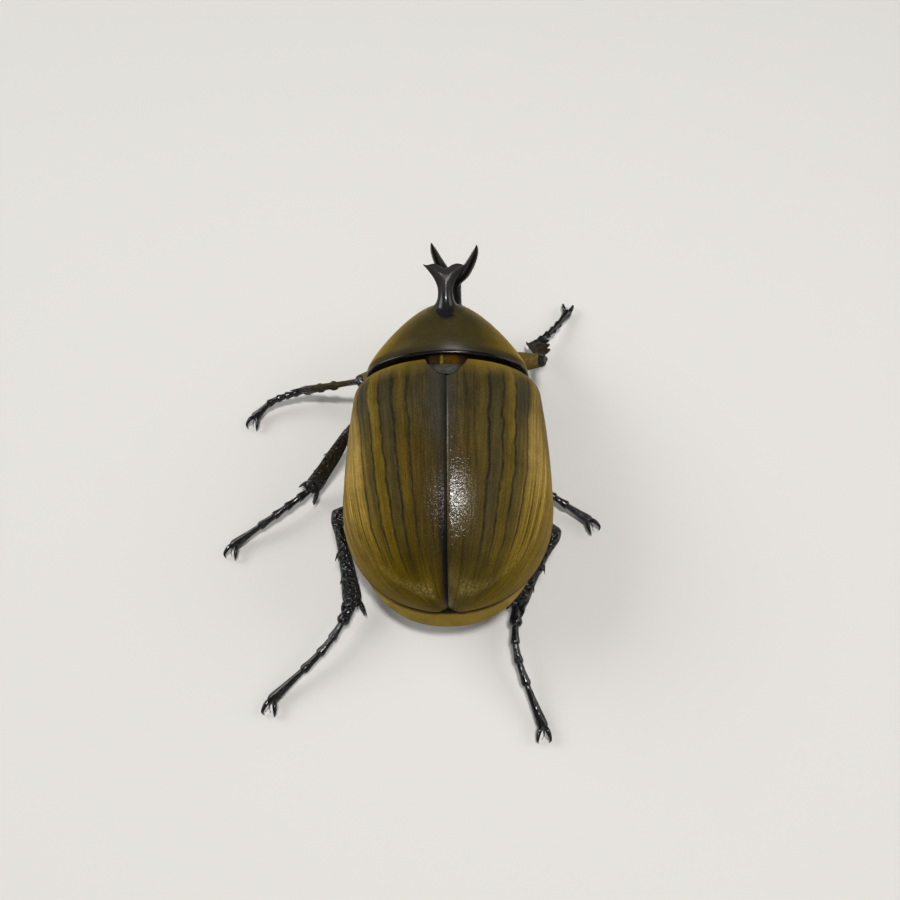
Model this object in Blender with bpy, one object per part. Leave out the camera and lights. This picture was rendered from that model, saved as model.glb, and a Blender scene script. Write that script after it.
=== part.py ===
"""Male horned beetle, Megasoma anubis, standing on six legs on a flat floor, life size.

The frame has +X to the beetle's right, +Y towards its head and +Z up, and the floor is at z = 0.
Every size is in millimetres until the last step, which scales the finished pieces to metres.
"""

import math

import bmesh
import bpy
from mathutils import Euler, Matrix, Vector

METRE = 0.001
GAP = 0.3  # clearance kept between two neighbouring plates
SEAM = GAP / 2.0

# The middle of the stance, measured from the point under the body where the design is drawn
STANCE_CENTRE = Vector((-6.86, 1.98, 0.0))

# Wing cases
BASE_Y = 19.5
APEX_Y = -23.0
WIDEST_Y = -3.0
HALF_WIDTH = 18.3
SHOULDER_HALF_WIDTH = 16.6
SHOULDER_ROUND = 2.6
SHOULDER_LENGTH = 4.5
REAR_FULLNESS = 2.18
BACK_FULLNESS = 2.3
CREST_Y = 5.0
CREST_Z = 25.3
BASE_CREST_Z = 23.0
EDGE_MID_Z = 12.0
EDGE_SHOULDER_Z = 15.0
EDGE_APEX_Z = 13.0
WING_LIP = 0.7  # how far the base of each wing case rounds over towards the shield

# Trunk under the wing cases
BELLY_Z = 6.0
TRUNK_INSET = 0.9
TRUNK_FRONT_Y = 20.0
TRUNK_END_Y = -24.6
TRUNK_WIDEST_Y = 2.0
TAIL_Z = 9.6
WAIST_Y = -5.5  # seam between the thorax and the abdomen
TRUNK_FLANK = 0.7  # how far below the roof the trunk is widest
CLOSING_Y = -17.0  # where the trunk starts to close towards the tail
ROOF_FALL = 3.0
BELLY_RISE = 3.3
VENTRITES = 6
VENTRITE_STEP = 0.35
TAIL_CUT = Vector((0.0, -21.6, TAIL_Z))
TAIL_CUT_NORMAL = Vector((0.0, -0.92, 0.38)).normalized()

# Pronotum, the shield behind the head
SHIELD_REAR_Y = 20.1
SHIELD_FRONT_Y = 35.4
SHIELD_HALF_WIDTH = 14.8
SHIELD_FRONT_HALF_WIDTH = 4.8
SHIELD_TAPER = 1.2
SHIELD_RIM = 0.45  # how far the rounded rim behind the shield turns in
SHIELD_TOP_Y = 24.0
SHIELD_TOP_Z = 24.2
SHIELD_REAR_Z = 23.4
SHIELD_FRONT_DROP = 7.6
SHIELD_EDGE_REAR_Z = 15.5
SHIELD_EDGE_FRONT_Z = 13.0
SHIELD_BELLY_Z = 7.2
SHIELD_BELLY_RISE = 1.2
SHIELD_WIDEST_Y = 21.5
# Roof of the shield across the body: 1 is an arc, and more than 1 draws it in to a ridge
SHIELD_ROOF_REAR = 0.97
SHIELD_ROOF_FRONT = 1.2
SHIELD_FLANK = 0.95
CORNER_ROOT = (4.8, 33.2, 12.2)
CORNER_REACH = (1.0, 2.9, -0.7)
CORNER_RADIUS = 1.2

# Forked horn of the shield: points along its stem and, on one side, along its fork
SHIELD_HORN = ((0.0, 26.6, 20.6), (-0.1, 30.4, 22.2), (-0.1, 33.4, 23.8), (-0.1, 36.3, 25.4))
SHIELD_HORN_HALF_WIDTH = 1.38
SHIELD_TINE = ((0.8, 35.4, 25.0), (2.4, 36.3, 25.5), (4.0, 36.9, 26.1))

# Head, which is turned and moved a little to the right on the neck
HEAD_PIVOT = Vector((0.0, 32.5, 0.0))
HEAD_TURN = math.radians(-4.5)
HEAD_SHIFT = 0.9
# Head capsule from the neck to the lip plate: place, half width, half height and level
HEAD_ROWS = (
    (30.0, 3.8, 2.6, 11.4), (32.5, 4.5, 3.0, 11.3), (35.0, 4.7, 3.0, 10.8), (37.0, 4.3, 2.5, 9.8),
    (38.6, 3.5, 1.8, 8.7), (39.6, 2.9, 1.1, 8.0), (40.0, 2.5, 0.7, 7.8),
)
EYE = (4.1, 35.0, 11.0)
EYE_RADII = (1.2, 1.4, 1.4)
CANTHUS = (4.2, 36.4, 10.6)
CANTHUS_RADII = (1.2, 1.1, 0.5)
LIP_POINT = (1.5, 39.3, 8.2)
LIP_POINT_REACH = (0.4, 1.5, 0.4)
HEAD_HORN = ((0.0, 34.2, 10.8), (0.0, 37.8, 12.4), (0.0, 40.2, 15.0), (0.0, 41.0, 18.0))
HEAD_TINE = ((0.6, 40.7, 16.8), (2.0, 41.2, 18.8), (3.2, 41.5, 21.6), (3.9, 41.4, 24.4), (4.15, 40.8, 27.0))
FEELER = ((3.2, 36.2, 8.4), (5.2, 36.8, 7.2), (4.9, 38.2, 6.3))
LEAF_RADII = (0.55, 1.7, 0.3)
JAW = ((1.9, 37.4, 7.4), (2.6, 39.4, 6.9), (2.2, 41.2, 7.2))
JAW_SIZES = (1.1, 1.05, 0.95, 0.7, 0.35)
PALP = ((1.5, 36.4, 7.2), (2.9, 38.2, 5.6), (3.0, 40.4, 5.2))
PALP_SIZES = (0.42, 0.4, 0.45, 0.36, 0.42, 0.48, 0.3)

# Scutellum, the small plate between the bases of the wing cases
PLATE_HALF_WIDTH = 4.3
PLATE_TIP_HALF_WIDTH = 0.35
PLATE_LENGTH = 4.2
PLATE_THICKNESS = 1.4

# Legs: hip joint of each pair on its right side, and half width of its thigh
HIPS = {"front": (4.2, 26.5, 7.6), "middle": (4.0, 9.0, 6.8), "hind": (5.0, -2.5, 6.8)}
THIGH_THICKNESS = {"front": 2.0, "middle": 2.1, "hind": 2.4}
# Pose of each leg: knee, ankle, middle of the foot and root of the claws, then where the claws point
STANCE = {
    "front_left": ((-17.4, 22.4, 9.6), (-29.4, 23.7, 3.9), (-36.0, 22.0, 2.6), (-39.9, 19.0, 1.0), -75.0),
    "front_right": ((18.6, 25.4, 11.5), (18.3, 34.4, 3.6), (22.4, 38.4, 2.6), (26.2, 44.0, 1.0), 80.0),
    "middle_left": ((-18.6, 11.9, 9.6), (-26.3, 2.6, 3.2), (-32.6, -2.4, 3.0), (-41.0, -8.0, 1.0), -75.0),
    "middle_right": ((14.6, 14.6, 9.5), (14.2, 4.4, 3.2), (19.4, 0.8, 3.2), (26.8, -3.8, 1.0), -60.0),
    "hind_left": ((-20.1, -5.5, 10.0), (-17.2, -19.5, 3.5), (-21.8, -27.0, 3.0), (-31.0, -35.6, 1.0), -80.0),
    "hind_right": ((18.9, -9.2, 10.0), (12.0, -19.8, 3.5), (11.6, -28.2, 3.2), (15.8, -40.2, 1.0), -88.0),
}
# Toothed edge of each front shin, and the outer face of the others
TOOTHED_EDGE = {"front_left": (-0.1, -0.12, -1.0), "front_right": (0.9, 0.1, 0.1)}
TARSOMERES = (0.17, 0.15, 0.15, 0.18, 0.35)
CLAW_LENGTH = 2.6
CLAW_SIZES = (0.5, 0.44, 0.36, 0.27, 0.18)
# Shins from knee to ankle: place along, half width and half thickness, and how the pairs differ from these
SHIN_STATIONS = (0.0, 0.06, 0.2, 0.45, 0.7, 0.9, 1.0)
SHIN_WIDE = (0.85, 1.0, 0.95, 1.2, 1.5, 1.85, 1.7)
SHIN_DEEP = (0.8, 0.9, 0.85, 0.95, 1.1, 1.3, 1.15)
SHIN_BUILD = {"front": (1.0, 0.72), "middle": (0.8, 0.8), "hind": (1.0, 1.0)}
# Teeth of a front shin: place along it and how far each stands out. Combs of the others: places along them
FRONT_TEETH = ((0.45, 1.2), (0.7, 1.6), (0.95, 1.9))
COMBS = (0.4, 0.67)
SPUR_LENGTH = 3.4
SPINE_LENGTH = 2.2
SOLE_Z = 0.0

MATERIALS = {
    "wing_case": ((0.30, 0.20, 0.035), 0.45),
    "shield": ((0.12, 0.09, 0.025), 0.4),
    "horn": ((0.008, 0.008, 0.009), 0.15),
    "body": ((0.03, 0.018, 0.008), 0.35),
    "tail_plate": ((0.45, 0.30, 0.10), 0.6),
    "leg": ((0.012, 0.010, 0.007), 0.25),
    "eye": ((0.01, 0.008, 0.006), 0.1),
    "feeler": ((0.06, 0.02, 0.008), 0.3),
}


def clear_scene():
    for obj in list(bpy.data.objects):
        bpy.data.objects.remove(obj, do_unlink=True)


def material(name):
    found = bpy.data.materials.get(name)
    if found:
        return found
    colour, roughness = MATERIALS[name]
    made = bpy.data.materials.new(name)
    made.use_nodes = True
    shader = made.node_tree.nodes["Principled BSDF"]
    shader.inputs["Base Color"].default_value = (*colour, 1.0)
    shader.inputs["Roughness"].default_value = roughness
    shader.inputs["Metallic"].default_value = 0.0
    return made


def mesh_object(name, bm):
    """Turns a bmesh into a linked object with its faces pointing out."""
    bmesh.ops.recalc_face_normals(bm, faces=bm.faces)
    mesh = bpy.data.meshes.new(name)
    bm.to_mesh(mesh)
    bm.free()
    obj = bpy.data.objects.new(name, mesh)
    bpy.context.scene.collection.objects.link(obj)
    return obj


def loft(name, rings):
    """Closed body through rings of equally many points. A ring whose points meet is a pole."""
    bm = bmesh.new()
    sides = len(rings[0])
    last = len(rings) - 1
    bmesh.ops.create_grid(bm, x_segments=sides, y_segments=last, size=1.0)
    for vert in bm.verts:
        column = round((vert.co.x + 1.0) / 2.0 * sides) % sides
        row = round((vert.co.y + 1.0) / 2.0 * last)
        vert.co = rings[row][column]
    bmesh.ops.remove_doubles(bm, verts=bm.verts, dist=0.001)
    bmesh.ops.holes_fill(bm, edges=bm.edges, sides=0)
    bmesh.ops.triangulate(bm, faces=bm.faces)
    return mesh_object(name, bm)


def oval(centre, across, up, sides):
    """Ring of points round centre, with half axes across and up."""
    return [
        centre
        + across * math.cos(2.0 * math.pi * step / sides)
        + up * math.sin(2.0 * math.pi * step / sides)
        for step in range(sides)
    ]


def smooth_path(points, steps):
    """Points along a Catmull-Rom curve through the given ones, steps to each stretch."""
    first = points[0] * 2.0 - points[1]
    final = points[-1] * 2.0 - points[-2]
    ends = [first, *points, final]
    path = []
    for index in range(1, len(ends) - 2):
        a, b, c, d = ends[index - 1 : index + 3]
        for step in range(steps):
            t = step / steps
            path.append(
                0.5
                * (
                    b * 2.0
                    + (c - a) * t
                    + (a * 2.0 - b * 5.0 + c * 4.0 - d) * t**2
                    + (b * 3.0 - a - c * 3.0 + d) * t**3
                )
            )
    path.append(points[-1])
    return path


def tube(name, path, widths, heights, sides, up=Vector((0.0, 0.0, 1.0)), blunt=True):
    """Oval tube along a path. widths and heights are half sizes at each of its points."""
    rings = []
    last = len(path) - 1
    for index, point in enumerate(path):
        ahead = path[min(index + 1, last)] - path[max(index - 1, 0)]
        across = ahead.cross(up).normalized()
        lift = across.cross(ahead).normalized()
        rings.append(oval(point, across * widths[index], lift * heights[index], sides))
    if blunt:
        rings = rounded_ends(rings, path, widths)
    return loft(name, rings)


def rounded_ends(rings, path, widths):
    """Adds a small ring beyond each end, so that a tube closes in a low dome."""
    start = (path[0] - path[1]).normalized() * widths[0] * 0.45
    end = (path[-1] - path[-2]).normalized() * widths[-1] * 0.45
    before = [path[0] + start + (point - path[0]) * 0.6 for point in rings[0]]
    after = [path[-1] + end + (point - path[-1]) * 0.6 for point in rings[-1]]
    return [before, *rings, after]


def ball(name, centre, radii, turn=(0.0, 0.0, 0.0), segments=12, rings=8):
    bm = bmesh.new()
    bmesh.ops.create_uvsphere(bm, u_segments=segments, v_segments=rings, radius=1.0)
    place = Matrix.Translation(centre) @ Euler(turn).to_matrix().to_4x4() @ Matrix.Diagonal((*radii, 1.0))
    bmesh.ops.transform(bm, matrix=place, verts=bm.verts)
    return mesh_object(name, bm)


def spike(name, root, tip, radius, sides=6, tip_radius=0.12):
    """Tapered spine from a sunk root to a fine blunt tip."""
    bm = bmesh.new()
    axis = tip - root
    bmesh.ops.create_cone(
        bm, cap_ends=True, cap_tris=True, segments=sides,
        radius1=radius, radius2=tip_radius, depth=axis.length,
    )
    place = Matrix.Translation((root + tip) / 2.0) @ axis.to_track_quat("Z", "Y").to_matrix().to_4x4()
    bmesh.ops.transform(bm, matrix=place, verts=bm.verts)
    return mesh_object(name, bm)


def apply_modifier(obj, modifier):
    bpy.context.view_layer.update()
    graph = bpy.context.evaluated_depsgraph_get()
    mesh = bpy.data.meshes.new_from_object(obj.evaluated_get(graph))
    obj.modifiers.remove(modifier)
    obj.data = mesh


def keep_largest(obj):
    """Keeps the closed surface that has the most faces, and drops loose scraps."""
    bm = bmesh.new()
    bm.from_mesh(obj.data)
    left = set(bm.verts)
    islands = []
    while left:
        seed = left.pop()
        island = {seed}
        edge_of_search = [seed]
        while edge_of_search:
            vert = edge_of_search.pop()
            for edge in vert.link_edges:
                other = edge.other_vert(vert)
                if other in left:
                    left.remove(other)
                    island.add(other)
                    edge_of_search.append(other)
        islands.append(island)
    islands.sort(key=len, reverse=True)
    scraps = [vert for island in islands[1:] for vert in island]
    bmesh.ops.delete(bm, geom=scraps, context="VERTS")
    bmesh.ops.triangulate(bm, faces=bm.faces)
    bm.to_mesh(obj.data)
    bm.free()


def fuse(name, pieces, solver="EXACT"):
    """Joins overlapping pieces into one closed body under the given name."""
    body, *others = pieces
    group = bpy.data.collections.new(name + "_pieces")
    for piece in others:
        group.objects.link(piece)
    union = body.modifiers.new("Union", "BOOLEAN")
    union.operation = "UNION"
    union.operand_type = "COLLECTION"
    union.collection = group
    union.solver = solver
    apply_modifier(body, union)
    for piece in others:
        bpy.data.objects.remove(piece, do_unlink=True)
    bpy.data.collections.remove(group)
    keep_largest(body)
    body.name = name
    return body


def duplicate(obj):
    copy = bpy.data.objects.new(obj.name + "_copy", obj.data.copy())
    bpy.context.scene.collection.objects.link(copy)
    return copy


def grown(obj, by):
    """Copy of a piece whose surface stands out by the given distance."""
    bm = bmesh.new()
    bm.from_mesh(obj.data)
    bm.normal_update()
    for vert, normal in [(vert, vert.normal.copy()) for vert in bm.verts]:
        vert.co += normal * by * vert.calc_shell_factor()
    return mesh_object(obj.name + "_room", bm)


def cut_away(obj, cutter):
    """Cuts a shape out of a piece and uses the shape up."""
    cut = obj.modifiers.new("Cut", "BOOLEAN")
    cut.operation = "DIFFERENCE"
    cut.object = cutter
    cut.solver = "EXACT"
    apply_modifier(obj, cut)
    bpy.data.objects.remove(cutter, do_unlink=True)
    keep_largest(obj)


def carve(obj, *neighbours):
    """Cuts the neighbours, with clearance round them, out of a piece."""
    for neighbour in neighbours:
        cut_away(obj, grown(neighbour, GAP))


def sliced(obj, name, point, normal):
    """The part of a body on the far side of a plane, as a new closed body."""
    bm = bmesh.new()
    bm.from_mesh(obj.data)
    cut = bmesh.ops.bisect_plane(
        bm, geom=[*bm.verts, *bm.edges, *bm.faces], plane_co=point, plane_no=normal, clear_inner=True
    )
    rim = [item for item in cut["geom_cut"] if isinstance(item, bmesh.types.BMEdge)]
    bmesh.ops.triangle_fill(bm, edges=rim, use_beauty=True)
    return mesh_object(name, bm)


def blend(start, end, share):
    return start + (end - start) * share


def wing_half_width(y):
    """Half width of the closed wing cases across the body at y."""
    if y < WIDEST_Y:
        share = min(1.0, (WIDEST_Y - y) / (WIDEST_Y - APEX_Y))
        return HALF_WIDTH * (1.0 - share**REAR_FULLNESS) ** (1.0 / REAR_FULLNESS)
    share = (y - WIDEST_Y) / (BASE_Y - WIDEST_Y)
    width = blend(HALF_WIDTH, SHOULDER_HALF_WIDTH, share**2)
    corner = max(0.0, (y - BASE_Y + SHOULDER_LENGTH) / SHOULDER_LENGTH)
    return width - SHOULDER_ROUND * corner**3


def wing_edge_z(y):
    if y > WIDEST_Y:
        return blend(EDGE_MID_Z, EDGE_SHOULDER_Z, ((y - WIDEST_Y) / (BASE_Y - WIDEST_Y)) ** 2)
    return blend(EDGE_MID_Z, EDGE_APEX_Z, min(1.0, (WIDEST_Y - y) / (WIDEST_Y - APEX_Y)) ** 2)


def wing_crest_z(y):
    if y > CREST_Y:
        return CREST_Z - (CREST_Z - BASE_CREST_Z) * ((y - CREST_Y) / (BASE_Y - CREST_Y)) ** 2
    share = min(1.0, (CREST_Y - y) / (CREST_Y - APEX_Y))
    edge = wing_edge_z(y)
    return edge + (CREST_Z - edge) * (1.0 - share**REAR_FULLNESS) ** (1.0 / REAR_FULLNESS)


def wing_stations(count):
    """Places from the base to the apex, set closer where the outline turns."""
    half = count // 2
    front = [blend(BASE_Y, WIDEST_Y, (row / half) ** 1.4) for row in range(half)]
    rear = [blend(WIDEST_Y, APEX_Y, math.sin(row / half * math.pi / 2.0)) for row in range(half + 1)]
    return front + rear


def wing_case(side, name):
    """One wing case: a domed outer face, flat below and flat along the seam of the back."""
    lengthwise, across, below = 22, 13, 4
    rings = []
    for row, y in enumerate(wing_stations(lengthwise)):
        lip = WING_LIP if row == 0 else 0.0
        width, crest, edge = wing_half_width(y) - lip, wing_crest_z(y) - lip, wing_edge_z(y)
        ring = []
        for step in range(across + 1):
            turn = step / across * math.pi / 2.0
            x = SEAM + max(0.0, width - SEAM) * math.sin(turn) ** (2.0 / BACK_FULLNESS)
            z = edge + (crest - edge) * max(0.0, math.cos(turn)) ** (2.0 / BACK_FULLNESS)
            ring.append(Vector((side * x, y, z)))
        for step in range(1, below + 1):
            x = blend(max(SEAM, width), SEAM, step / below)
            ring.append(Vector((side * x, y, edge)))
        rings.append(ring)
    return loft(name, rings)


def trunk_half_width(y):
    if y > TRUNK_WIDEST_Y:
        return wing_half_width(y) - TRUNK_INSET
    share = min(1.0, (TRUNK_WIDEST_Y - y) / (TRUNK_WIDEST_Y - TRUNK_END_Y))
    return (wing_half_width(TRUNK_WIDEST_Y) - TRUNK_INSET) * (1.0 - share**2.6) ** (1.0 / 2.3)


def trunk():
    """Whole thorax and abdomen under the wing cases, from the neck to the tail."""
    front_rings, tail_rings, sides = 9, 20, 26
    stations = [blend(TRUNK_FRONT_Y, WAIST_Y, row / front_rings) for row in range(front_rings)]
    for row in range(tail_rings + 1):
        stations.append(blend(WAIST_Y, TRUNK_END_Y, math.sin(row / tail_rings * math.pi / 2.0)))
    rings = []
    for y in stations:
        closing = max(0.0, (CLOSING_Y - y) / (CLOSING_Y - TRUNK_END_Y))
        rear = max(0.0, (WAIST_Y - y) / (WAIST_Y - TRUNK_END_Y))
        width = max(0.05, trunk_half_width(y))
        roof = wing_edge_z(max(y, APEX_Y)) - GAP - ROOF_FALL * closing**3
        flank = blend(roof - TRUNK_FLANK, TAIL_Z, closing)
        floor = BELLY_Z + BELLY_RISE * rear**3 + ventrite_step(rear)
        ring = []
        for step in range(sides):
            turn = 2.0 * math.pi * step / sides
            rise, reach = math.sin(turn), math.cos(turn)
            x = width * math.copysign(abs(reach) ** 0.9, reach)
            z = flank + (roof - flank) * rise if rise > 0 else flank + (flank - floor) * rise
            ring.append(Vector((x, y, z)))
        rings.append(ring)
    return loft("trunk", rings)


def ventrite_step(rear):
    """Low saw-tooth of the belly plates, each lapping over the next."""
    return VENTRITE_STEP * (rear * VENTRITES % 1.0) if 0.0 < rear < 0.9 else 0.0


def part_trunk(whole):
    """Parts the trunk with thin cuts into thorax, abdomen and tail plate."""
    back = Vector((0.0, -1.0, 0.0))
    thorax = sliced(whole, "thorax", Vector((0.0, WAIST_Y + SEAM, 0.0)), -back)
    rear = sliced(whole, "rear", Vector((0.0, WAIST_Y - SEAM, 0.0)), back)
    abdomen = sliced(rear, "abdomen", TAIL_CUT - TAIL_CUT_NORMAL * SEAM, -TAIL_CUT_NORMAL)
    pygidium = sliced(rear, "pygidium", TAIL_CUT + TAIL_CUT_NORMAL * SEAM, TAIL_CUT_NORMAL)
    for helper in (whole, rear):
        bpy.data.objects.remove(helper, do_unlink=True)
    return thorax, abdomen, pygidium


def shield_half_width(y):
    share = max(0.0, (y - SHIELD_WIDEST_Y) / (SHIELD_FRONT_Y - SHIELD_WIDEST_Y))
    return SHIELD_HALF_WIDTH - (SHIELD_HALF_WIDTH - SHIELD_FRONT_HALF_WIDTH) * share**SHIELD_TAPER


def shield_top_z(y):
    if y < SHIELD_TOP_Y:
        share = (SHIELD_TOP_Y - y) / (SHIELD_TOP_Y - SHIELD_REAR_Y)
        return SHIELD_TOP_Z - (SHIELD_TOP_Z - SHIELD_REAR_Z) * share**2
    share = (y - SHIELD_TOP_Y) / (SHIELD_FRONT_Y - SHIELD_TOP_Y)
    return SHIELD_TOP_Z - SHIELD_FRONT_DROP * share**2.6


def pronotum():
    """Shield over the front of the body, with the breast plate under it and two small front corners."""
    rows, sides = 12, 28
    stations = [(SHIELD_REAR_Y, SHIELD_RIM), (SHIELD_REAR_Y + 0.3, 0.08), (SHIELD_REAR_Y + 0.75, 0.0)]
    start = SHIELD_REAR_Y + 1.5
    stations += [(blend(start, SHIELD_FRONT_Y, row / rows), 0.0) for row in range(rows + 1)]
    rings = []
    for y, turned_in in stations:
        share = (y - SHIELD_REAR_Y) / (SHIELD_FRONT_Y - SHIELD_REAR_Y)
        width, top = shield_half_width(y) - turned_in, shield_top_z(y) - turned_in
        edge = blend(SHIELD_EDGE_REAR_Z, SHIELD_EDGE_FRONT_Z, share)
        floor = SHIELD_BELLY_Z + SHIELD_BELLY_RISE * share**2
        roof = blend(SHIELD_ROOF_REAR, SHIELD_ROOF_FRONT, share)
        ring = []
        for step in range(sides):
            turn = 2.0 * math.pi * step / sides
            rise, reach = math.sin(turn), math.cos(turn)
            bend = roof if rise > 0 else SHIELD_FLANK
            x = width * math.copysign(abs(reach) ** bend, reach)
            z = edge + (top - edge) * rise**bend if rise > 0 else edge + (edge - floor) * rise
            ring.append(Vector((x, y, z)))
        rings.append(ring)
    pieces = [loft("shield", rings)]
    for side in (-1, 1):
        root = mirrored(CORNER_ROOT, side)
        pieces.append(spike("corner", root, root + mirrored(CORNER_REACH, side), CORNER_RADIUS))
    return fuse("pronotum", pieces)


def mirrored(point, side):
    """A point given for the right side, on the side asked for."""
    return Vector((side * point[0], point[1], point[2]))


def pronotal_horn():
    """Stout horn of the shield, flared like a trowel into a wide shallow fork."""
    path = smooth_path([Vector(point) for point in SHIELD_HORN], 4)
    last = len(path) - 1
    widths, heights = [], []
    for index in range(last + 1):
        along = index / last
        root, fork = max(0.0, 1.0 - along * 1.7) ** 2, max(0.0, along - 0.6) ** 1.9
        widths.append(SHIELD_HORN_HALF_WIDTH + 2.2 * root + 5.5 * fork)
        heights.append(SHIELD_HORN_HALF_WIDTH + 1.8 * root - 0.8 * along**2)
    pieces = [tube("stem", path, widths, heights, 12)]
    for side in (-1, 1):
        tine = smooth_path([mirrored(point, side) for point in SHIELD_TINE], 3)
        sizes = [blend(1.2, 0.15, (i / (len(tine) - 1)) ** 1.2) for i in range(len(tine))]
        pieces.append(tube("tine", tine, sizes, [size * 0.6 for size in sizes], 8))
    return fuse("horn_pronotum", pieces)


def turned_head(obj):
    """Turns and shifts a piece of the head on the neck."""
    shift = Matrix.Translation(HEAD_PIVOT + Vector((HEAD_SHIFT, 0.0, 0.0)))
    obj.data.transform(shift @ Matrix.Rotation(HEAD_TURN, 4, "Z") @ Matrix.Translation(-HEAD_PIVOT))
    return obj


def head_capsule():
    """Head from the neck to the two-pointed lip plate, with a ridge in front of each eye, and its room."""
    rings = []
    for y, wide, high, z in HEAD_ROWS:
        rings.append(oval(Vector((0.0, y, z)), Vector((wide, 0.0, 0.0)), Vector((0.0, 0.0, high)), 18))
    pieces = [loft("capsule", rings)]
    for side in (-1, 1):
        pieces.append(ball("canthus", mirrored(CANTHUS, side), CANTHUS_RADII, segments=10, rings=6))
    room = [turned_head(grown(piece, GAP)) for piece in pieces]
    for side in (-1, 1):
        root = mirrored(LIP_POINT, side)
        pieces.append(spike("lip_point", root, root + mirrored(LIP_POINT_REACH, side), 0.65))
    return turned_head(fuse("head", pieces)), room


def head_horn():
    """Long horn of the head, curved upwards, with two tines set like a lyre."""
    path = smooth_path([Vector(point) for point in HEAD_HORN], 4)
    last = len(path) - 1
    widths, depths = [], []
    for index in range(last + 1):
        along = index / last
        widths.append(blend(2.2, 1.35, min(1.0, along * 1.8)) + 2.2 * max(0.0, along - 0.75))
        depths.append(blend(2.0, 1.1, min(1.0, along * 1.4)))
    forward = Vector((0.0, -1.0, 0.3))
    pieces = [tube("stem", path, widths, depths, 10, up=forward)]
    for side in (-1, 1):
        tine = smooth_path([mirrored(point, side) for point in HEAD_TINE], 2)
        sizes = [blend(1.2, 0.15, (i / (len(tine) - 1)) ** 1.6) for i in range(len(tine))]
        pieces.append(tube("tine", tine, [size * 0.85 for size in sizes], sizes, 8, up=forward))
    return fuse("horn_head", pieces)


def eye(side, name):
    return ball(name, mirrored(EYE, side), EYE_RADII)


def antenna(side, name):
    """Elbowed feeler: a long first joint, a short beaded stalk and a club of three leaves."""
    points = [mirrored(point, side) for point in FEELER]
    path = smooth_path(points, 4)
    sizes = [0.5 if i < 4 else 0.34 + 0.1 * (i % 2) for i in range(len(path))]
    pieces = [tube("stalk", path, sizes, sizes, 7)]
    for leaf in (-1, 0, 1):
        centre = points[-1] + Vector((side * -0.2, 1.1, 0.5 * leaf - 0.1))
        turn = (0.12 * leaf, 0.0, side * 0.2)
        pieces.append(ball("leaf", centre, LEAF_RADII, turn, segments=8, rings=6))
    return fuse(name, pieces)


def mandible(side, name):
    path = smooth_path([mirrored(point, side) for point in JAW], 2)
    return tube(name, path, JAW_SIZES, [size * 0.55 for size in JAW_SIZES], 8)


def palp(side, name):
    path = smooth_path([mirrored(point, side) for point in PALP], 3)
    return tube(name, path, PALP_SIZES, PALP_SIZES, 6)


def scutellum():
    """Small triangular plate let in between the bases of the wing cases."""
    bm = bmesh.new()
    bmesh.ops.create_grid(bm, x_segments=4, y_segments=3, size=1.0)
    for vert in bm.verts:
        back = (1.0 - vert.co.y) / 2.0
        half = PLATE_HALF_WIDTH * (1.0 - back**1.5) + PLATE_TIP_HALF_WIDTH
        x, y = vert.co.x * half, BASE_Y - PLATE_LENGTH * back
        vert.co = Vector((x, y, wing_crest_z(y) - 0.012 * x * x))
    top = bm.faces[:]
    sheet = bmesh.ops.extrude_face_region(bm, geom=top)
    lowered = [item for item in sheet["geom"] if isinstance(item, bmesh.types.BMVert)]
    bmesh.ops.translate(bm, verts=lowered, vec=(0.0, 0.0, -PLATE_THICKNESS))
    bmesh.ops.triangulate(bm, faces=bm.faces)
    return mesh_object("scutellum", bm)


def foot_knots(ankle, bend, toe):
    """Joints of the foot, set out along a curve from the ankle through its middle to the claws."""
    curve = smooth_path([ankle, bend, toe], 12)
    steps = [(far - near).length for near, far in zip(curve, curve[1:])]
    total = sum(steps)
    ends = [total * sum(TARSOMERES[:count]) for count in range(1, len(TARSOMERES))]
    knots, travelled = [ankle], 0.0
    for step, near, far in zip(steps, curve, curve[1:]):
        while ends and ends[0] <= travelled + step:
            knots.append(blend(near, far, (ends.pop(0) - travelled) / step))
        travelled += step
    return [*knots, toe]


def tarsus(name, side, knots, claw_heading):
    """Foot of five joints, each widening to its far end, and a pair of curved claws."""
    path, sizes = [], []
    for index in range(len(knots) - 1):
        near, far = knots[index], knots[index + 1]
        longest = index == len(knots) - 2
        path += [blend(near, far, share) for share in (0.06, 0.55, 0.92)]
        sizes += [0.5, 0.62, 0.95] if not longest else [0.45, 0.5, 0.8]
    pieces = [tube("joints", path, sizes, sizes, 7)]
    room = grown(pieces[0], GAP)
    ahead = (knots[-1] - knots[-2]).normalized()
    turn = math.radians(claw_heading)
    level = Vector((side * math.cos(turn), math.sin(turn), 0.0))
    sideways = Vector((-level.y, level.x, 0.0))
    for hand in (-1, 1):
        spread = (level + sideways * hand * 0.5).normalized()
        root = knots[-1] - ahead * 0.5 + sideways * hand * 0.22
        middle = root + spread * CLAW_LENGTH * 0.6 + Vector((0.0, 0.0, 0.25))
        tip = root + (level * 0.9 + sideways * hand * 0.32) * CLAW_LENGTH * 1.1
        tip.z = SOLE_Z + 0.28
        claw = smooth_path([root, middle, tip], 2)
        pieces.append(tube("claw", claw, CLAW_SIZES, CLAW_SIZES, 6))
    below = Vector((knots[-1].x, knots[-1].y, SOLE_Z + 0.45)) - level * 0.4
    pad = ball("pad", below, (0.6, 0.6, 0.6), segments=8, rings=6)
    foot = fuse(name, [*pieces, pad])
    level_sole(foot)
    return foot, room


def level_sole(foot):
    """Cuts a foot flat where it meets the floor."""
    flat = sliced(foot, foot.name + "_flat", Vector((0.0, 0.0, SOLE_Z)), Vector((0.0, 0.0, 1.0)))
    foot.data = flat.data
    bpy.data.objects.remove(flat, do_unlink=True)


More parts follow.
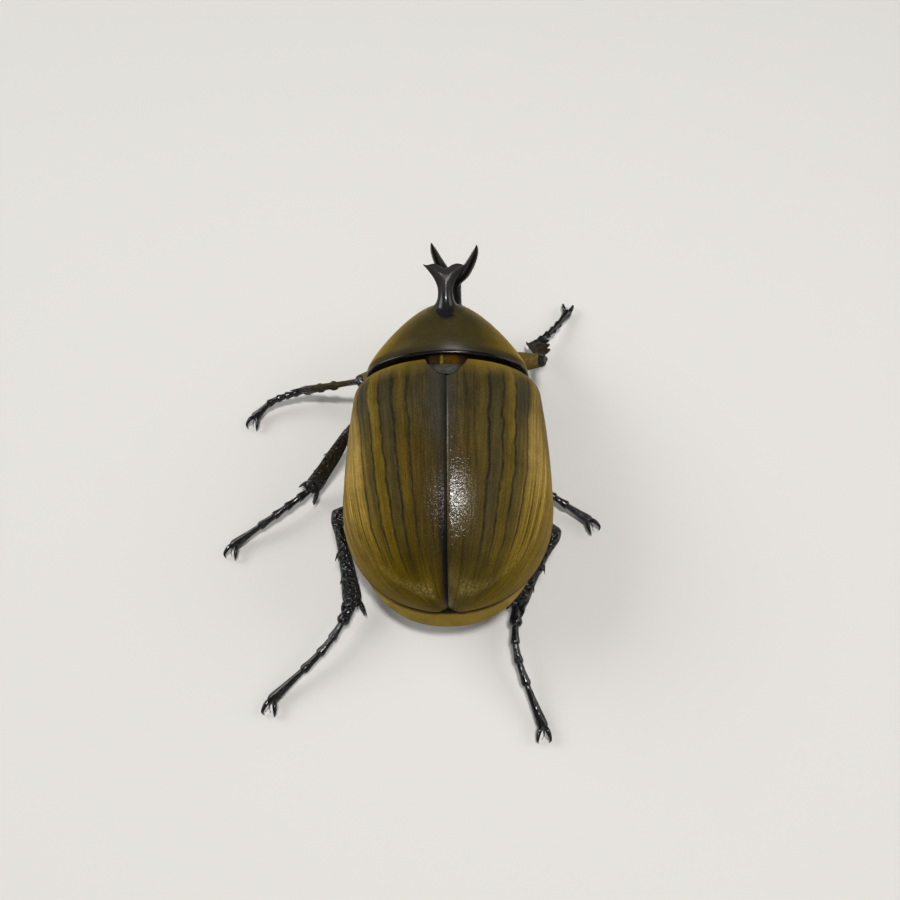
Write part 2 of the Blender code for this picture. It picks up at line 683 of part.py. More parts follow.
def tibia(name, side, pair, knee, ankle, guide):
    """Shin, widening to the ankle, with teeth or combs of spines on its outer edge and spurs at its end."""
    axis = (ankle - knee).normalized()
    outer = (guide - axis * guide.dot(axis)).normalized()
    flat = axis.cross(outer).normalized()
    length = (ankle - knee).length
    broad, thick = SHIN_BUILD[pair]
    rings = []
    for at, wide, deep in zip(SHIN_STATIONS, SHIN_WIDE, SHIN_DEEP):
        rings.append(oval(blend(knee, ankle, at), outer * wide * broad, flat * deep * thick, 10))
    pieces = [loft("shaft", rings)]
    room = grown(pieces[0], GAP)
    if pair == "front":
        for at, reach in FRONT_TEETH:
            root = knee + axis * length * at
            pieces.append(spike("tooth", root, root + outer * (1.0 + reach) + axis * reach * 0.7, 0.95))
        spurs = ((-0.9, 0.0, SPUR_LENGTH),)
    else:
        for at in COMBS:
            for lean in (-0.8, 0.0, 0.8):
                root = knee + axis * length * at
                spread = (outer + flat * lean).normalized()
                pieces.append(spike("comb", root, root + spread * 2.0 + axis * 1.0, 0.55, sides=5))
        spurs = (
            (-0.9, 0.4, SPUR_LENGTH), (-0.7, -0.6, SPUR_LENGTH), (0.95, 0.3, SPINE_LENGTH),
            (0.3, 0.95, SPINE_LENGTH), (0.4, -0.95, SPINE_LENGTH),
        )
    for across, up, reach in spurs:
        spread = outer * across + flat * up
        root = ankle - axis * 1.2 + spread * 0.8
        pieces.append(spike("spur", root, root + axis * reach + spread * 1.1, 0.55, sides=5))
    return fuse(name, pieces), room


def femur(name, hip, knee, thick):
    axis = knee - hip
    stations = (0.0, 0.12, 0.35, 0.6, 0.85, 1.0)
    swell = (0.7, 1.0, 1.15, 1.1, 0.8, 0.62)
    path = [hip + axis * at for at in stations]
    return tube(name, path, [thick * s for s in swell], [thick * 0.72 * s for s in swell], 10)


def leg(pair, hand):
    """Coxa, femur, tibia and tarsus of one leg, and the room that its thigh takes up."""
    side = -1 if hand == "left" else 1
    label = f"{pair}_{hand}"
    knee, ankle, bend, toe = [Vector(point) for point in STANCE[label][:4]]
    x, y, z = HIPS[pair]
    hip = Vector((side * x, y, z))
    thigh_axis = (knee - hip).normalized()
    turn = (0.0, 0.0, math.atan2(thigh_axis.y, thigh_axis.x))
    coxa = ball(f"coxa_{label}", hip, (3.0, 2.3, 2.3), turn, segments=10, rings=6)
    thigh = femur(f"femur_{label}", hip + thigh_axis * 1.6, knee, THIGH_THICKNESS[pair])
    guide = Vector(TOOTHED_EDGE.get(label, (side * 1.0, 0.2, 0.6)))
    shin, shin_room = tibia(f"tibia_{label}", side, pair, knee, ankle, guide)
    foot, foot_room = tarsus(f"tarsus_{label}", side, foot_knots(ankle, bend, toe), STANCE[label][4])
    cut_away(shin, foot_room)
    thigh_room = grown(thigh, GAP)
    cut_away(thigh, shin_room)
    return (coxa, thigh, shin, foot), thigh_room


def paint(slot, *objects):
    for obj in objects:
        obj.data.materials.clear()
        obj.data.materials.append(material(slot))


def place_all():
    """Scales every piece to metres, with the middle of the stance at the origin."""
    place = Matrix.Scale(METRE, 4) @ Matrix.Translation(-STANCE_CENTRE)
    for obj in bpy.data.objects:
        obj.data.transform(place)
        obj.data.shade_smooth()
        obj.data.set_sharp_from_angle(angle=math.radians(40.0))


def main():
    clear_scene()
    wing_left, wing_right = wing_case(-1, "elytron_left"), wing_case(1, "elytron_right")
    plate = scutellum()
    thorax, abdomen, pygidium = part_trunk(trunk())
    shield, shield_horn = pronotum(), pronotal_horn()
    capsule, head_room = head_capsule()
    horn = turned_head(head_horn())
    eyes, feelers, jaws, palps = [], [], [], []
    for side, hand in ((-1, "left"), (1, "right")):
        eyes.append(turned_head(eye(side, f"eye_{hand}")))
        feelers.append(turned_head(antenna(side, f"antenna_{hand}")))
        jaws.append(turned_head(mandible(side, f"mandible_{hand}")))
        palps.append(turned_head(palp(side, f"palp_{hand}")))
    for wing in (wing_left, wing_right):
        carve(wing, plate)
    carve(shield_horn, shield)
    for room in head_room:
        for neighbour in (horn, *feelers, *jaws, *palps, shield):
            cut_away(neighbour, duplicate(room))
        bpy.data.objects.remove(room, do_unlink=True)
    carve(shield, *eyes)
    carve(capsule, *eyes)
    legs = []
    for pair in HIPS:
        for hand in ("left", "right"):
            chain, thigh_room = leg(pair, hand)
            for plate_above in (shield,) if pair == "front" else (thorax, abdomen):
                carve(plate_above, chain[0])
                cut_away(plate_above, duplicate(thigh_room))
            cut_away(chain[0], thigh_room)
            legs += chain
    paint("wing_case", wing_left, wing_right)
    paint("shield", shield, plate)
    paint("horn", shield_horn, horn)
    paint("body", thorax, abdomen, capsule, *jaws)
    paint("tail_plate", pygidium)
    paint("eye", *eyes)
    paint("feeler", *feelers, *palps)
    paint("leg", *legs)
    place_all()


main()
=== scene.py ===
"""Male horned beetle, Megasoma anubis, life size: shell plates, horns, legs and hairs, and their finishes.

Shapes are drawn in millimetres round the beetle's own middle line, with +Y to its head, +X to its right and
the floor at 0. The last step of each piece turns it into metres and sets it on the frame.
"""

import math
import random

import bmesh
import bpy
import numpy as np
from mathutils import Matrix, Vector, noise


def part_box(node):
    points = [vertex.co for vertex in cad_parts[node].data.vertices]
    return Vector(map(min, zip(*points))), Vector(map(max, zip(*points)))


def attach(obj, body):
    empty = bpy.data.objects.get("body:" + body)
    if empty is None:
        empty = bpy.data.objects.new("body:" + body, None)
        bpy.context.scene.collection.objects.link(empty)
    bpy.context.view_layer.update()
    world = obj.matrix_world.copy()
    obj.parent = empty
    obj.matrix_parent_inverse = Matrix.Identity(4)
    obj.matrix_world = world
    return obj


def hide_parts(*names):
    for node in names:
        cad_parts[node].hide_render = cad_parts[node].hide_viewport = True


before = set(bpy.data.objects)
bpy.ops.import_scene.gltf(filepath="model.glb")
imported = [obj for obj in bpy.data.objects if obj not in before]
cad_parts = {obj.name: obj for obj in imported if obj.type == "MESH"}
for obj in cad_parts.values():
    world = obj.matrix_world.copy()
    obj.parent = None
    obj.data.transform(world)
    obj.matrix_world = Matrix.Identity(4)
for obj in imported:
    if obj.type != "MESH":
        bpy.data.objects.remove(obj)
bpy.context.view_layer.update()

MM = 0.001
UP = Vector((0.0, 0.0, 1.0))

# Wing cases
SEAM = 0.02
FRAME_SEAM = 0.15
BASE_Y = 19.5
APEX_Y = -23.0
WIDEST_Y = -3.0
HALF_WIDTH = 18.3
SHOULDER_HALF_WIDTH = 16.6
SHOULDER_ROUND = 2.6
SHOULDER_LENGTH = 4.5
REAR_FULLNESS = 2.18
BACK_FULLNESS = 2.3
CREST_Y = 5.0
CREST_Z = 25.3
BASE_CREST_Z = 23.0
EDGE_MID_Z = 12.0
EDGE_SHOULDER_Z = 15.0
EDGE_APEX_Z = 13.0
BASE_LIP = 0.9
BASE_ARCH = 1.0

# Trunk under the wing cases
BELLY_Z = 6.0
TRUNK_INSET = 0.9
TRUNK_FRONT_Y = 20.0
TRUNK_END_Y = -24.6
TRUNK_WIDEST_Y = 2.0
TAIL_Z = 9.6
WAIST_Y = -5.5
TRUNK_FLANK = 0.7
CLOSING_Y = -17.0
ROOF_FALL = 3.0
BELLY_RISE = 3.3
VENTRITES = 6
VENTRITE_LAP = 0.4
BREAST_GROOVE = 0.25
TRUNK_BREAST = 0.4
TRUNK_GRID = (140, 190)
TAIL_CUT = Vector((0.0, -21.6, TAIL_Z))
TAIL_CUT_NORMAL = Vector((0.0, -0.92, 0.38)).normalized()

# Shield behind the head
SHIELD_REAR_Y = 20.1
SHIELD_FRONT_Y = 35.4
SHIELD_WIDEST_Y = 21.5
SHIELD_HALF_WIDTH = 14.8
SHIELD_FRONT_HALF_WIDTH = 4.8
SHIELD_TAPER = 1.2
SHIELD_TOP_Y = 24.0
SHIELD_TOP_Z = 24.2
SHIELD_REAR_Z = 23.4
SHIELD_FRONT_DROP = 7.6
SHIELD_EDGE_REAR_Z = 15.5
SHIELD_EDGE_FRONT_Z = 13.0
SHIELD_BELLY_Z = 7.2
SHIELD_BELLY_RISE = 1.2
SHIELD_ROOF_REAR = 0.97
SHIELD_ROOF_FRONT = 1.2
SHIELD_ARCH = 0.7
SHIELD_BELLY_BEND = 0.95
SHIELD_RIM = 0.16
SHIELD_ROLL = 0.05
SHIELD_ROLL_DEPTH = 0.45
SHIELD_GRID = (180, 110)
SHIELD_CORNER = ((4.8, 33.2, 12.2), (5.5, 34.8, 12.0), (5.75, 35.9, 11.6), (5.6, 36.7, 11.2))

# Horn of the shield: its line, its collar, and the share and sink of each ring in its hollow end
SHIELD_HORN = ((0.0, 26.6, 20.6), (-0.1, 30.4, 22.2), (-0.1, 33.4, 23.8), (-0.1, 36.3, 25.4))
SHIELD_HORN_HALF_WIDTH = 1.38
HORN_FLARE_START = 0.62
HORN_SIDES = 64
HORN_STEPS = 40
COLLAR_SPREAD = 2.3
COLLAR_RISE = 9
COLLAR_RINGS = 14
SPOON_RINGS = ((0.9, 0.02), (0.75, 0.2), (0.5, 0.42), (0.25, 0.55), (0.0, 0.6))
SPOON_HALF_WIDTH = 4.0
DULL_SHARE = 0.92
DULL_LENGTH = 4.9
DULL_FADE = 1.2

# Head: its rings as place, half width, half height and height, and the lumps that join them
HEAD_PIVOT = Vector((0.0, 32.5, 0.0))
HEAD_TURN = math.radians(-4.5)
HEAD_SHIFT = 0.9
HEAD_ROWS = (
    (30.0, 3.8, 2.6, 11.4), (32.5, 4.5, 3.0, 11.3), (35.0, 4.7, 3.0, 10.8), (37.0, 4.3, 2.5, 9.8),
    (38.6, 3.5, 1.8, 8.7), (39.6, 2.9, 1.1, 8.0), (40.0, 2.5, 0.7, 7.8),
)
HEAD_LUMPS = (("brow", (0.0, 36.0, 12.2), (2.9, 2.6, 1.9)), ("throat", (0.0, 34.5, 8.9), (3.6, 3.2, 1.6)))
CHEEK_LUMPS = (
    ("ridge", (4.2, 36.4, 10.6), (1.35, 1.2, 0.45)), ("socket", (3.0, 36.2, 8.7), (1.0, 0.9, 0.7)),
    ("cheek", (3.6, 35.0, 9.4), (1.2, 1.9, 1.3)),
)
HEAD_GRAIN = 0.12
EYE = (4.1, 35.0, 11.0)
EYE_RADII = (1.2, 1.4, 1.4)
LIP_RIM = ((0.0, 39.85, 8.55), (1.4, 39.9, 8.5), (2.6, 39.3, 8.6), (3.5, 38.0, 9.4), (4.1, 36.9, 10.3))
LIP_POINT = (1.5, 39.3, 8.2)
LIP_POINT_REACH = (0.4, 1.5, 0.4)
LIP_POINT_BOW = (0.05, 0.1, -0.1)
HEAD_HORN = ((0.0, 34.2, 10.8), (0.0, 37.8, 12.4), (0.0, 40.2, 15.0), (0.0, 41.0, 18.0))
HEAD_TINE = (
    (0.0, 40.6, 15.8), (0.7, 40.9, 17.2), (2.0, 41.2, 18.8), (3.2, 41.5, 21.6), (3.9, 41.4, 24.4),
    (4.15, 40.8, 27.0),
)
HORN_GRAIN = 0.085
FEELER = ((3.0, 36.2, 8.2), (4.45, 36.9, 7.1), (4.05, 38.2, 6.3))
FEELER_BEADS = 6
FEELER_LEAF = (0.62, 1.75, 0.2)
JAW = ((1.9, 37.4, 7.4), (2.6, 39.4, 6.9), (2.2, 41.2, 7.2))
JAW_LOBE = (3.0, 38.9, 7.0)
JAW_LOBE_REACH = (0.55, 0.9, 0.45)
PALP = ((1.5, 36.4, 7.2), (2.9, 38.2, 5.6), (3.0, 40.4, 5.2))

# Plate between the bases of the wing cases
PLATE_START = 0.42
PLATE_END = 0.99
PLATE_LENGTH = 4.2
PLATE_EDGE = 0.3
PLATE_GRID = (56, 40)

# Neck membrane
MEMBRANE_HALF_WIDTH = 3.75
MEMBRANE_FRONT_Y = 20.25
MEMBRANE_LENGTH = 2.7
MEMBRANE_GRID = (60, 40)

# Legs: hip and thigh of each pair, and the pose of each leg
HIPS = {"front": (4.2, 26.5, 7.6), "middle": (4.0, 9.0, 6.8), "hind": (5.0, -2.5, 6.8)}
THIGH_THICKNESS = {"front": 2.0, "middle": 2.1, "hind": 2.4}
STANCE = {
    "front_left": ((-17.4, 22.4, 9.6), (-29.4, 23.7, 3.9), (-36.0, 22.0, 2.6), (-39.9, 19.0, 1.0), -75.0),
    "front_right": ((18.6, 25.4, 11.5), (18.3, 34.4, 3.6), (22.4, 38.4, 2.6), (26.2, 44.0, 1.0), 80.0),
    "middle_left": ((-18.6, 11.9, 9.6), (-26.3, 2.6, 3.2), (-32.6, -2.4, 3.0), (-41.0, -8.0, 1.0), -75.0),
    "middle_right": ((14.6, 14.6, 9.5), (14.2, 4.4, 3.2), (19.4, 0.8, 3.2), (26.8, -3.8, 1.0), -60.0),
    "hind_left": ((-20.1, -5.5, 10.0), (-17.2, -19.5, 3.5), (-21.8, -27.0, 3.0), (-31.0, -35.6, 1.0), -80.0),
    "hind_right": ((18.9, -9.2, 10.0), (12.0, -19.8, 3.5), (11.6, -28.2, 3.2), (15.8, -40.2, 1.0), -88.0),
}
TOOTHED_EDGE = {"front_left": (-0.05, 0.3, -0.95), "front_right": (0.9, 0.1, 0.1)}
SHIN_BUILD = {"front": (0.95, 0.62), "middle": (0.98, 0.8), "hind": (1.0, 1.0)}
FRONT_TEETH = ((0.45, 1.2), (0.7, 1.6), (0.95, 1.9))
COMBS = (0.4, 0.67)
TARSOMERES = (0.17, 0.15, 0.15, 0.18, 0.35)
CLAW_LENGTH = 2.6
CLAW_TIP_Z = 0.16
SHIN_GRAIN = 0.1
THIGH_GRAIN = 0.14
CROWN_SPINES = 9
SPURS = ((-0.9, 0.45, 3.9), (-0.75, -0.6, 3.4), (0.95, 0.3, 2.2))
BONE_STEPS = 30

# Place of the beetle's middle line on the frame
wing_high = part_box("elytron_left")[1]
MIDDLE = Vector((wing_high.x / MM + FRAME_SEAM, wing_high.y / MM - BASE_Y, 0.0))

# Turns of the rings that round off the end of a tube
CAP_TURNS = (0.0, 0.45, 0.9, 1.3, 1.57)


def mesh_object(name, bm):
    mesh = bpy.data.meshes.new(name)
    bm.to_mesh(mesh)
    bm.free()
    mesh.shade_smooth()
    obj = bpy.data.objects.new(name, mesh)
    bpy.context.scene.collection.objects.link(obj)
    return obj


def skin(name, columns, rows, place, lay=None):
    """Closed shell from a sheet. place turns shares across and along into points, lay into its own map."""
    bm = bmesh.new()
    layer = bm.loops.layers.uv.new("Lay")
    bmesh.ops.create_grid(bm, x_segments=columns, y_segments=rows, size=1.0, calc_uvs=True)
    for vert in bm.verts:
        vert.co = place((vert.co.x + 1.0) / 2.0, (vert.co.y + 1.0) / 2.0)
    if lay:
        for face in bm.faces:
            for loop in face.loops:
                loop[layer].uv = lay(*loop[layer].uv)
    bmesh.ops.remove_doubles(bm, verts=bm.verts, dist=0.0005)
    bmesh.ops.holes_fill(bm, edges=bm.edges, sides=0)
    bmesh.ops.recalc_face_normals(bm, faces=bm.faces)
    return mesh_object(name, bm)


def loft(name, rings):
    """Closed shell through rings of equally many points."""
    sides, last = len(rings[0]), len(rings) - 1
    return skin(name, sides, last, lambda u, v: rings[round(v * last)][round(u * sides) % sides])


def oval(centre, across, up, sides, squareness=1.0):
    """Ring of points round centre, a little squared where squareness is less than 1."""
    ring = []
    for step in range(sides):
        turn = 2.0 * math.pi * step / sides
        out, rise = math.cos(turn), math.sin(turn)
        ring.append(
            centre
            + across * math.copysign(abs(out) ** squareness, out)
            + up * math.copysign(abs(rise) ** squareness, rise)
        )
    return ring


def blend(start, end, share):
    return start + (end - start) * share


def clamp(value):
    return min(1.0, max(0.0, value))


def hump(value, centre, spread):
    return math.exp(-(((value - centre) / spread) ** 2))


def smooth_path(points, steps):
    """Points along a smooth curve through the given ones, steps to each stretch."""
    ends = [points[0] * 2.0 - points[1], *points, points[-1] * 2.0 - points[-2]]
    path = []
    for index in range(1, len(ends) - 2):
        a, b, c, d = ends[index - 1 : index + 3]
        for step in range(steps):
            t = step / steps
            bend = (a * 2.0 - b * 5.0 + c * 4.0 - d) * t**2 + (b * 3.0 - a - c * 3.0 + d) * t**3
            path.append(0.5 * (b * 2.0 + (c - a) * t + bend))
    path.append(points[-1])
    return path


def profile(*knots):
    """Smooth run of sizes through knots of share and size."""
    dense = smooth_path([Vector((share, size, 0.0)) for share, size in knots], 8)
    shares, sizes = [point.x for point in dense], [point.y for point in dense]
    return lambda share: max(0.01, float(np.interp(share, shares, sizes)))


def tube(name, path, wide, deep, sides=24, up=UP, squareness=1.0):
    """Tube along a path with rounded ends. wide and deep give its half sizes at a share of its length."""
    last = len(path) - 1
    rings = []
    for index, point in enumerate(path):
        ahead = (path[min(index + 1, last)] - path[max(index - 1, 0)]).normalized()
        across = ahead.cross(up).normalized()
        lift = across.cross(ahead)
        w, d = wide(index / last), deep(index / last)
        if 0 < index < last:
            rings.append(oval(point, across * w, lift * d, sides, squareness))
            continue
        out = ahead * (-1.0 if index == 0 else 1.0) * w * 0.5
        caps = []
        for turn in CAP_TURNS:
            middle, fade = point + out * math.sin(turn), math.cos(turn)
            caps.append(oval(middle, across * w * fade, lift * d * fade, sides, squareness))
        rings += caps[::-1] if index == 0 else caps
    return loft(name, rings)


def ball(name, centre, radii, turn=None, segments=24):
    bm = bmesh.new()
    rows = segments * 2 // 3
    bmesh.ops.create_uvsphere(bm, u_segments=segments, v_segments=rows, radius=1.0, calc_uvs=False)
    place = Matrix.Translation(centre) @ (turn or Matrix.Identity(4)) @ Matrix.Diagonal((*radii, 1.0))
    bmesh.ops.transform(bm, matrix=place, verts=bm.verts)
    return mesh_object(name, bm)


def thorn(name, root, tip, radius, bend=Vector((0.0, 0.0, 0.0)), sides=10, blunt=0.12):
    """Tapered spine from a sunk root, bowed by bend, to a blunt point."""
    path = smooth_path([root, (root + tip) / 2.0 + bend, tip], 5)
    size = profile((0.0, radius), (0.55, radius * 0.68), (1.0, max(0.05, radius * blunt)))
    axis = (tip - root).normalized()
    up = UP if abs(axis.z) < 0.9 else Vector((0.0, 1.0, 0.0))
    return tube(name, path, size, size, sides, up)


def baked(obj):
    """Applies a piece's modifiers to its mesh."""
    bpy.context.view_layer.update()
    graph = bpy.context.evaluated_depsgraph_get()
    mesh = bpy.data.meshes.new_from_object(obj.evaluated_get(graph))
    obj.modifiers.clear()
    obj.data = mesh
    mesh.shade_smooth()
    return obj


def joined(name, pieces):
    """One object from several closed shapes, each kept as it is."""
    bm = bmesh.new()
    for piece in pieces:
        bm.from_mesh(piece.data)
        bpy.data.objects.remove(piece, do_unlink=True)
    return mesh_object(name, bm)


def melted(name, pieces, grain, passes=6):
    """One skin round several overlapping shapes, with soft creases where they meet."""
    body = joined(name, pieces)
    remesh = body.modifiers.new("Skin", "REMESH")
    remesh.mode = "VOXEL"
    remesh.voxel_size = grain
    soften = body.modifiers.new("Soften", "SMOOTH")
    soften.factor = 0.5
    soften.iterations = passes
    return baked(body)


def marked(obj, name, share):
    """Writes a number to each point of a piece, for its finish to read."""
    layer = obj.data.attributes.new(name, "FLOAT", "POINT")
    layer.data.foreach_set("value", [share(vert.co) for vert in obj.data.vertices])
    return obj


def mirrored(point, side):
    return Vector((side * point[0], point[1], point[2]))


def settled(obj, finish, slot, *nodes):
    """Turns a finished piece into metres, sets it on the frame, and hides the nodes it stands for."""
    obj.data.transform(Matrix.Scale(MM, 4) @ Matrix.Translation(MIDDLE))
    obj.data.materials.clear()
    obj.data.materials.append(finish)
    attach(obj, "root")
    if nodes:
        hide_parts(*nodes)
    return obj


class Finish:
    """A finish under way: its shader, and short ways to add nodes to it."""

    def __init__(self, name, **constants):
        self.material = bpy.data.materials.new(name)
        self.material.use_nodes = True
        self.tree = self.material.node_tree
        self.shader = self.tree.nodes["Principled BSDF"]
        self.shade(**constants)

    def feed(self, socket, value):
        if isinstance(value, bpy.types.NodeSocket):
            self.tree.links.new(value, socket)
        elif isinstance(value, tuple) and len(value) == 3 and len(socket.default_value) == 4:
            socket.default_value = (*value, 1.0)
        else:
            socket.default_value = value

    def shade(self, **values):
        for key, value in values.items():
            self.feed(self.shader.inputs[key.replace("_", " ")], value)

    def node(self, kind, output=0, settings=None, **values):
        made = self.tree.nodes.new("ShaderNode" + kind)
        for key, value in (settings or {}).items():
            setattr(made, key, value)
        for key, value in values.items():
            self.feed(made.inputs[key.replace("_", " ")], value)
        return made.outputs[output]

    def place(self):
        return self.node("TexCoord", "Object")

    def lay(self):
        """Shares across and along of the piece's own map."""
        parts = self.tree.nodes.new("ShaderNodeSeparateXYZ")
        self.feed(parts.inputs[0], self.node("UVMap", settings={"uv_map": "Lay"}))
        return parts.outputs[0], parts.outputs[1]

    def axis(self, letter):
        """One way of the piece's own place, in metres."""
        parts = self.tree.nodes.new("ShaderNodeSeparateXYZ")
        self.feed(parts.inputs[0], self.place())
        return parts.outputs[letter]

    def mark(self, name):
        return self.node("Attribute", "Fac", settings={"attribute_name": name})

    def math(self, operation, first, second):
        made = self.tree.nodes.new("ShaderNodeMath")
        made.operation = operation
        self.feed(made.inputs[0], first)
        self.feed(made.inputs[1], second)
        return made.outputs[0]

    def times(self, first, second):
        return self.math("MULTIPLY", first, second)

    def plus(self, first, second):
        return self.math("ADD", first, second)

    def minus(self, first, second):
        return self.math("SUBTRACT", first, second)

    def rest(self, share):
        """What a share leaves of the whole."""
        return self.minus(1.0, share)

    def swing(self, grain, reach):
        """A grain as a shift to both sides."""
        return self.times(self.minus(grain, 0.5), reach)

    def frayed(self, place, grain, reach):
        """A place or mark whose edge wanders with a grain."""
        return self.plus(place, self.swing(grain, reach))

    def mix(self, share, first, second, way="MIX"):
        made = self.tree.nodes.new("ShaderNodeMix")
        made.data_type = "RGBA"
        made.blend_type = way
        for socket, value in ((made.inputs[0], share), (made.inputs[6], first), (made.inputs[7], second)):
            self.feed(socket, value)
        return made.outputs[2]

    def ramp(self, share, stops):
        made = self.tree.nodes.new("ShaderNodeValToRGB")
        marks = made.color_ramp.elements
        while len(marks) < len(stops):
            marks.new(0.5)
        for mark, (position, tone) in zip(marks, stops):
            mark.position = position
            mark.color = (*tone, 1.0) if isinstance(tone, tuple) else (tone, tone, tone, 1.0)
        self.feed(made.inputs[0], share)
        return made.outputs[0]

    def rise(self, share, start, end):
        return self.ramp(share, [(start, 0.0), (end, 1.0)])

    def fall(self, share, start, end):
        return self.ramp(share, [(start, 1.0), (end, 0.0)])

    def patch(self, first, first_stops, second, second_stops):
        """Share of a place that is bounded both ways."""
        return self.times(self.ramp(first, first_stops), self.ramp(second, second_stops))

    def shaded(self, tone, share, stops):
        """A tone made darker and lighter by a grain."""
        return self.mix(1.0, tone, self.ramp(share, stops), "MULTIPLY")

    def grain(self, scale, detail=3.0, roughness=0.6, where=None, warp=0.0):
        values = {"Scale": scale, "Detail": detail, "Roughness": roughness, "Distortion": warp}
        return self.node("TexNoise", "Fac", Vector=where or self.place(), **values)

    def cells(self, scale, feature="F1"):
        return self.node("TexVoronoi", "Distance", {"feature": feature}, Vector=self.place(), Scale=scale)

    def bump(self, height, strength, depth, under=None):
        values = {"Height": height, "Strength": strength, "Distance": depth}
        if under:
            values["Normal"] = under
        return self.node("Bump", **values)


def wing_half_width(y):
    """Half width of the closed wing cases at y."""
    if y < WIDEST_Y:
        share = min(1.0, (WIDEST_Y - y) / (WIDEST_Y - APEX_Y))
        return HALF_WIDTH * (1.0 - share**REAR_FULLNESS) ** (1.0 / REAR_FULLNESS)
    share = (y - WIDEST_Y) / (BASE_Y - WIDEST_Y)
    width = blend(HALF_WIDTH, SHOULDER_HALF_WIDTH, share**2)
    corner = max(0.0, (y - BASE_Y + SHOULDER_LENGTH) / SHOULDER_LENGTH)
    return width - SHOULDER_ROUND * corner**3


def wing_edge_z(y):
    if y > WIDEST_Y:
        return blend(EDGE_MID_Z, EDGE_SHOULDER_Z, ((y - WIDEST_Y) / (BASE_Y - WIDEST_Y)) ** 2)
    return blend(EDGE_MID_Z, EDGE_APEX_Z, min(1.0, (WIDEST_Y - y) / (WIDEST_Y - APEX_Y)) ** 2)


def wing_crest_z(y):
    if y > CREST_Y:
        return CREST_Z - (CREST_Z - BASE_CREST_Z) * ((y - CREST_Y) / (BASE_Y - CREST_Y)) ** 2
    share = min(1.0, (CREST_Y - y) / (CREST_Y - APEX_Y))
    edge = wing_edge_z(y)
    return edge + (CREST_Z - edge) * (1.0 - share**REAR_FULLNESS) ** (1.0 / REAR_FULLNESS)


def wing_along(y):
    """Share of the wing case's length from its base to y."""
    return (BASE_Y - y) / (BASE_Y - APEX_Y)


# Shares of the sheet that make the back, the rolled edge and the flat underside of a wing case
WING_BACK = 0.78
WING_ROLL = 0.84
WING_UNDER = 0.95
WING_GRID = (150, 130)
ROLL_WIDTH = 0.3
ROLL_DROP = 0.2
TIP_LENGTH = 0.7
NOTCH_DEPTH = 0.45
NOTCH_WALL = 0.3

# Dark furrows of a wing case: place between seam and edge, half width, strength
FURROWS = (
    (0.166, 0.008, 0.9), (0.246, 0.011, 1.0), (0.327, 0.011, 1.0), (0.415, 0.011, 1.0), (0.51, 0.010, 0.95),
    (0.61, 0.008, 0.75), (0.69, 0.007, 0.65), (0.77, 0.006, 0.5), (0.86, 0.006, 0.45),
)

# How far apart the bands lie from base to tip, against their places at the middle of the wing case
BAND_SPREAD = profile(
    (0.0, 1.42), (0.1, 1.36), (0.2, 1.29), (0.3, 1.16), (0.4, 1.075), (0.5, 1.0), (0.6, 0.94), (0.7, 0.9),
    (0.85, 0.88), (1.0, 0.88),
)
RIGHT_SPREAD = 0.62
RIGHT_SHIFT = 0.04


def wing_row_y(along):
    if along < 0.5:
        return blend(BASE_Y, WIDEST_Y, (along * 2.0) ** 1.5)
    return blend(WIDEST_Y, APEX_Y, math.sin((along * 2.0 - 1.0) * math.pi / 2.0))


PLATE_OUTLINE = profile(
    (0.0, 3.6), (0.3, 3.3), (0.55, 2.5), (0.8, 1.65), (0.92, 1.15), (0.98, 0.5), (1.0, 0.0),
)


def plate_half_width(y):
    """Half width at y of the notch between the bases of the wing cases, which holds the small plate."""
    share = (BASE_Y - y) / PLATE_LENGTH
    return PLATE_OUTLINE(share) if 0.0 <= share < 1.0 else -1.0


def wing_section(side, across, y):
    """Point of the wing case's back at a share from seam to edge, with its swellings."""
    turn = across * math.pi / 2.0
    width, crest, edge = max(SEAM + 0.01, wing_half_width(y)), wing_crest_z(y), wing_edge_z(y)
    along = wing_along(y)
    lip = max(0.0, 1.0 - (BASE_Y - y) / BASE_LIP)
    drop = BASE_LIP * (1.0 - math.sqrt(max(0.0, 1.0 - lip**2)))
    x = SEAM + (width - SEAM) * math.sin(turn) ** (2.0 / BACK_FULLNESS)
    z = edge + (crest - edge) * max(0.0, math.cos(turn)) ** (2.0 / BACK_FULLNESS)

    shoulder = 0.32 * hump(across, 0.62, 0.1) * hump(along, 0.1, 0.07)
    rear_bulge = 0.3 * hump(across, 0.45, 0.14) * hump(along, 0.9, 0.045)
    edge_rim = 0.12 * hump(across, 0.985, 0.012)
    seam_groove = (0.03 + 0.09 * along) * hump(x, 0.0, 0.13)
    edge_groove = 0.05 * hump(across, 0.955, 0.015)
    waver = 0.05 * noise.noise(Vector((side * x, y, z)) * 0.25)
    swell = shoulder + rear_bulge + (edge_rim - seam_groove) - edge_groove + waver

    out = Vector((math.sin(turn), -max(0.0, along - 0.75) * 3.0, math.cos(turn) + 0.05)).normalized()
    arch = BASE_ARCH * (x / width) ** 2 * max(0.0, 1.0 - along * 4.0) ** 2
    base = Vector((x - drop * math.sin(turn) * 0.6, y - arch, z - drop * max(0.3, math.cos(turn))))
    point = base + out * swell
    point.y += TIP_LENGTH * hump(x, 0.0, 1.1) * max(0.0, (along - 0.9) / 0.1) ** 2
    point.x = max(point.x, SEAM)
    point.z -= NOTCH_DEPTH * clamp((plate_half_width(y) + 0.1 - point.x) / NOTCH_WALL)
    return Vector((side * point.x, point.y, point.z))


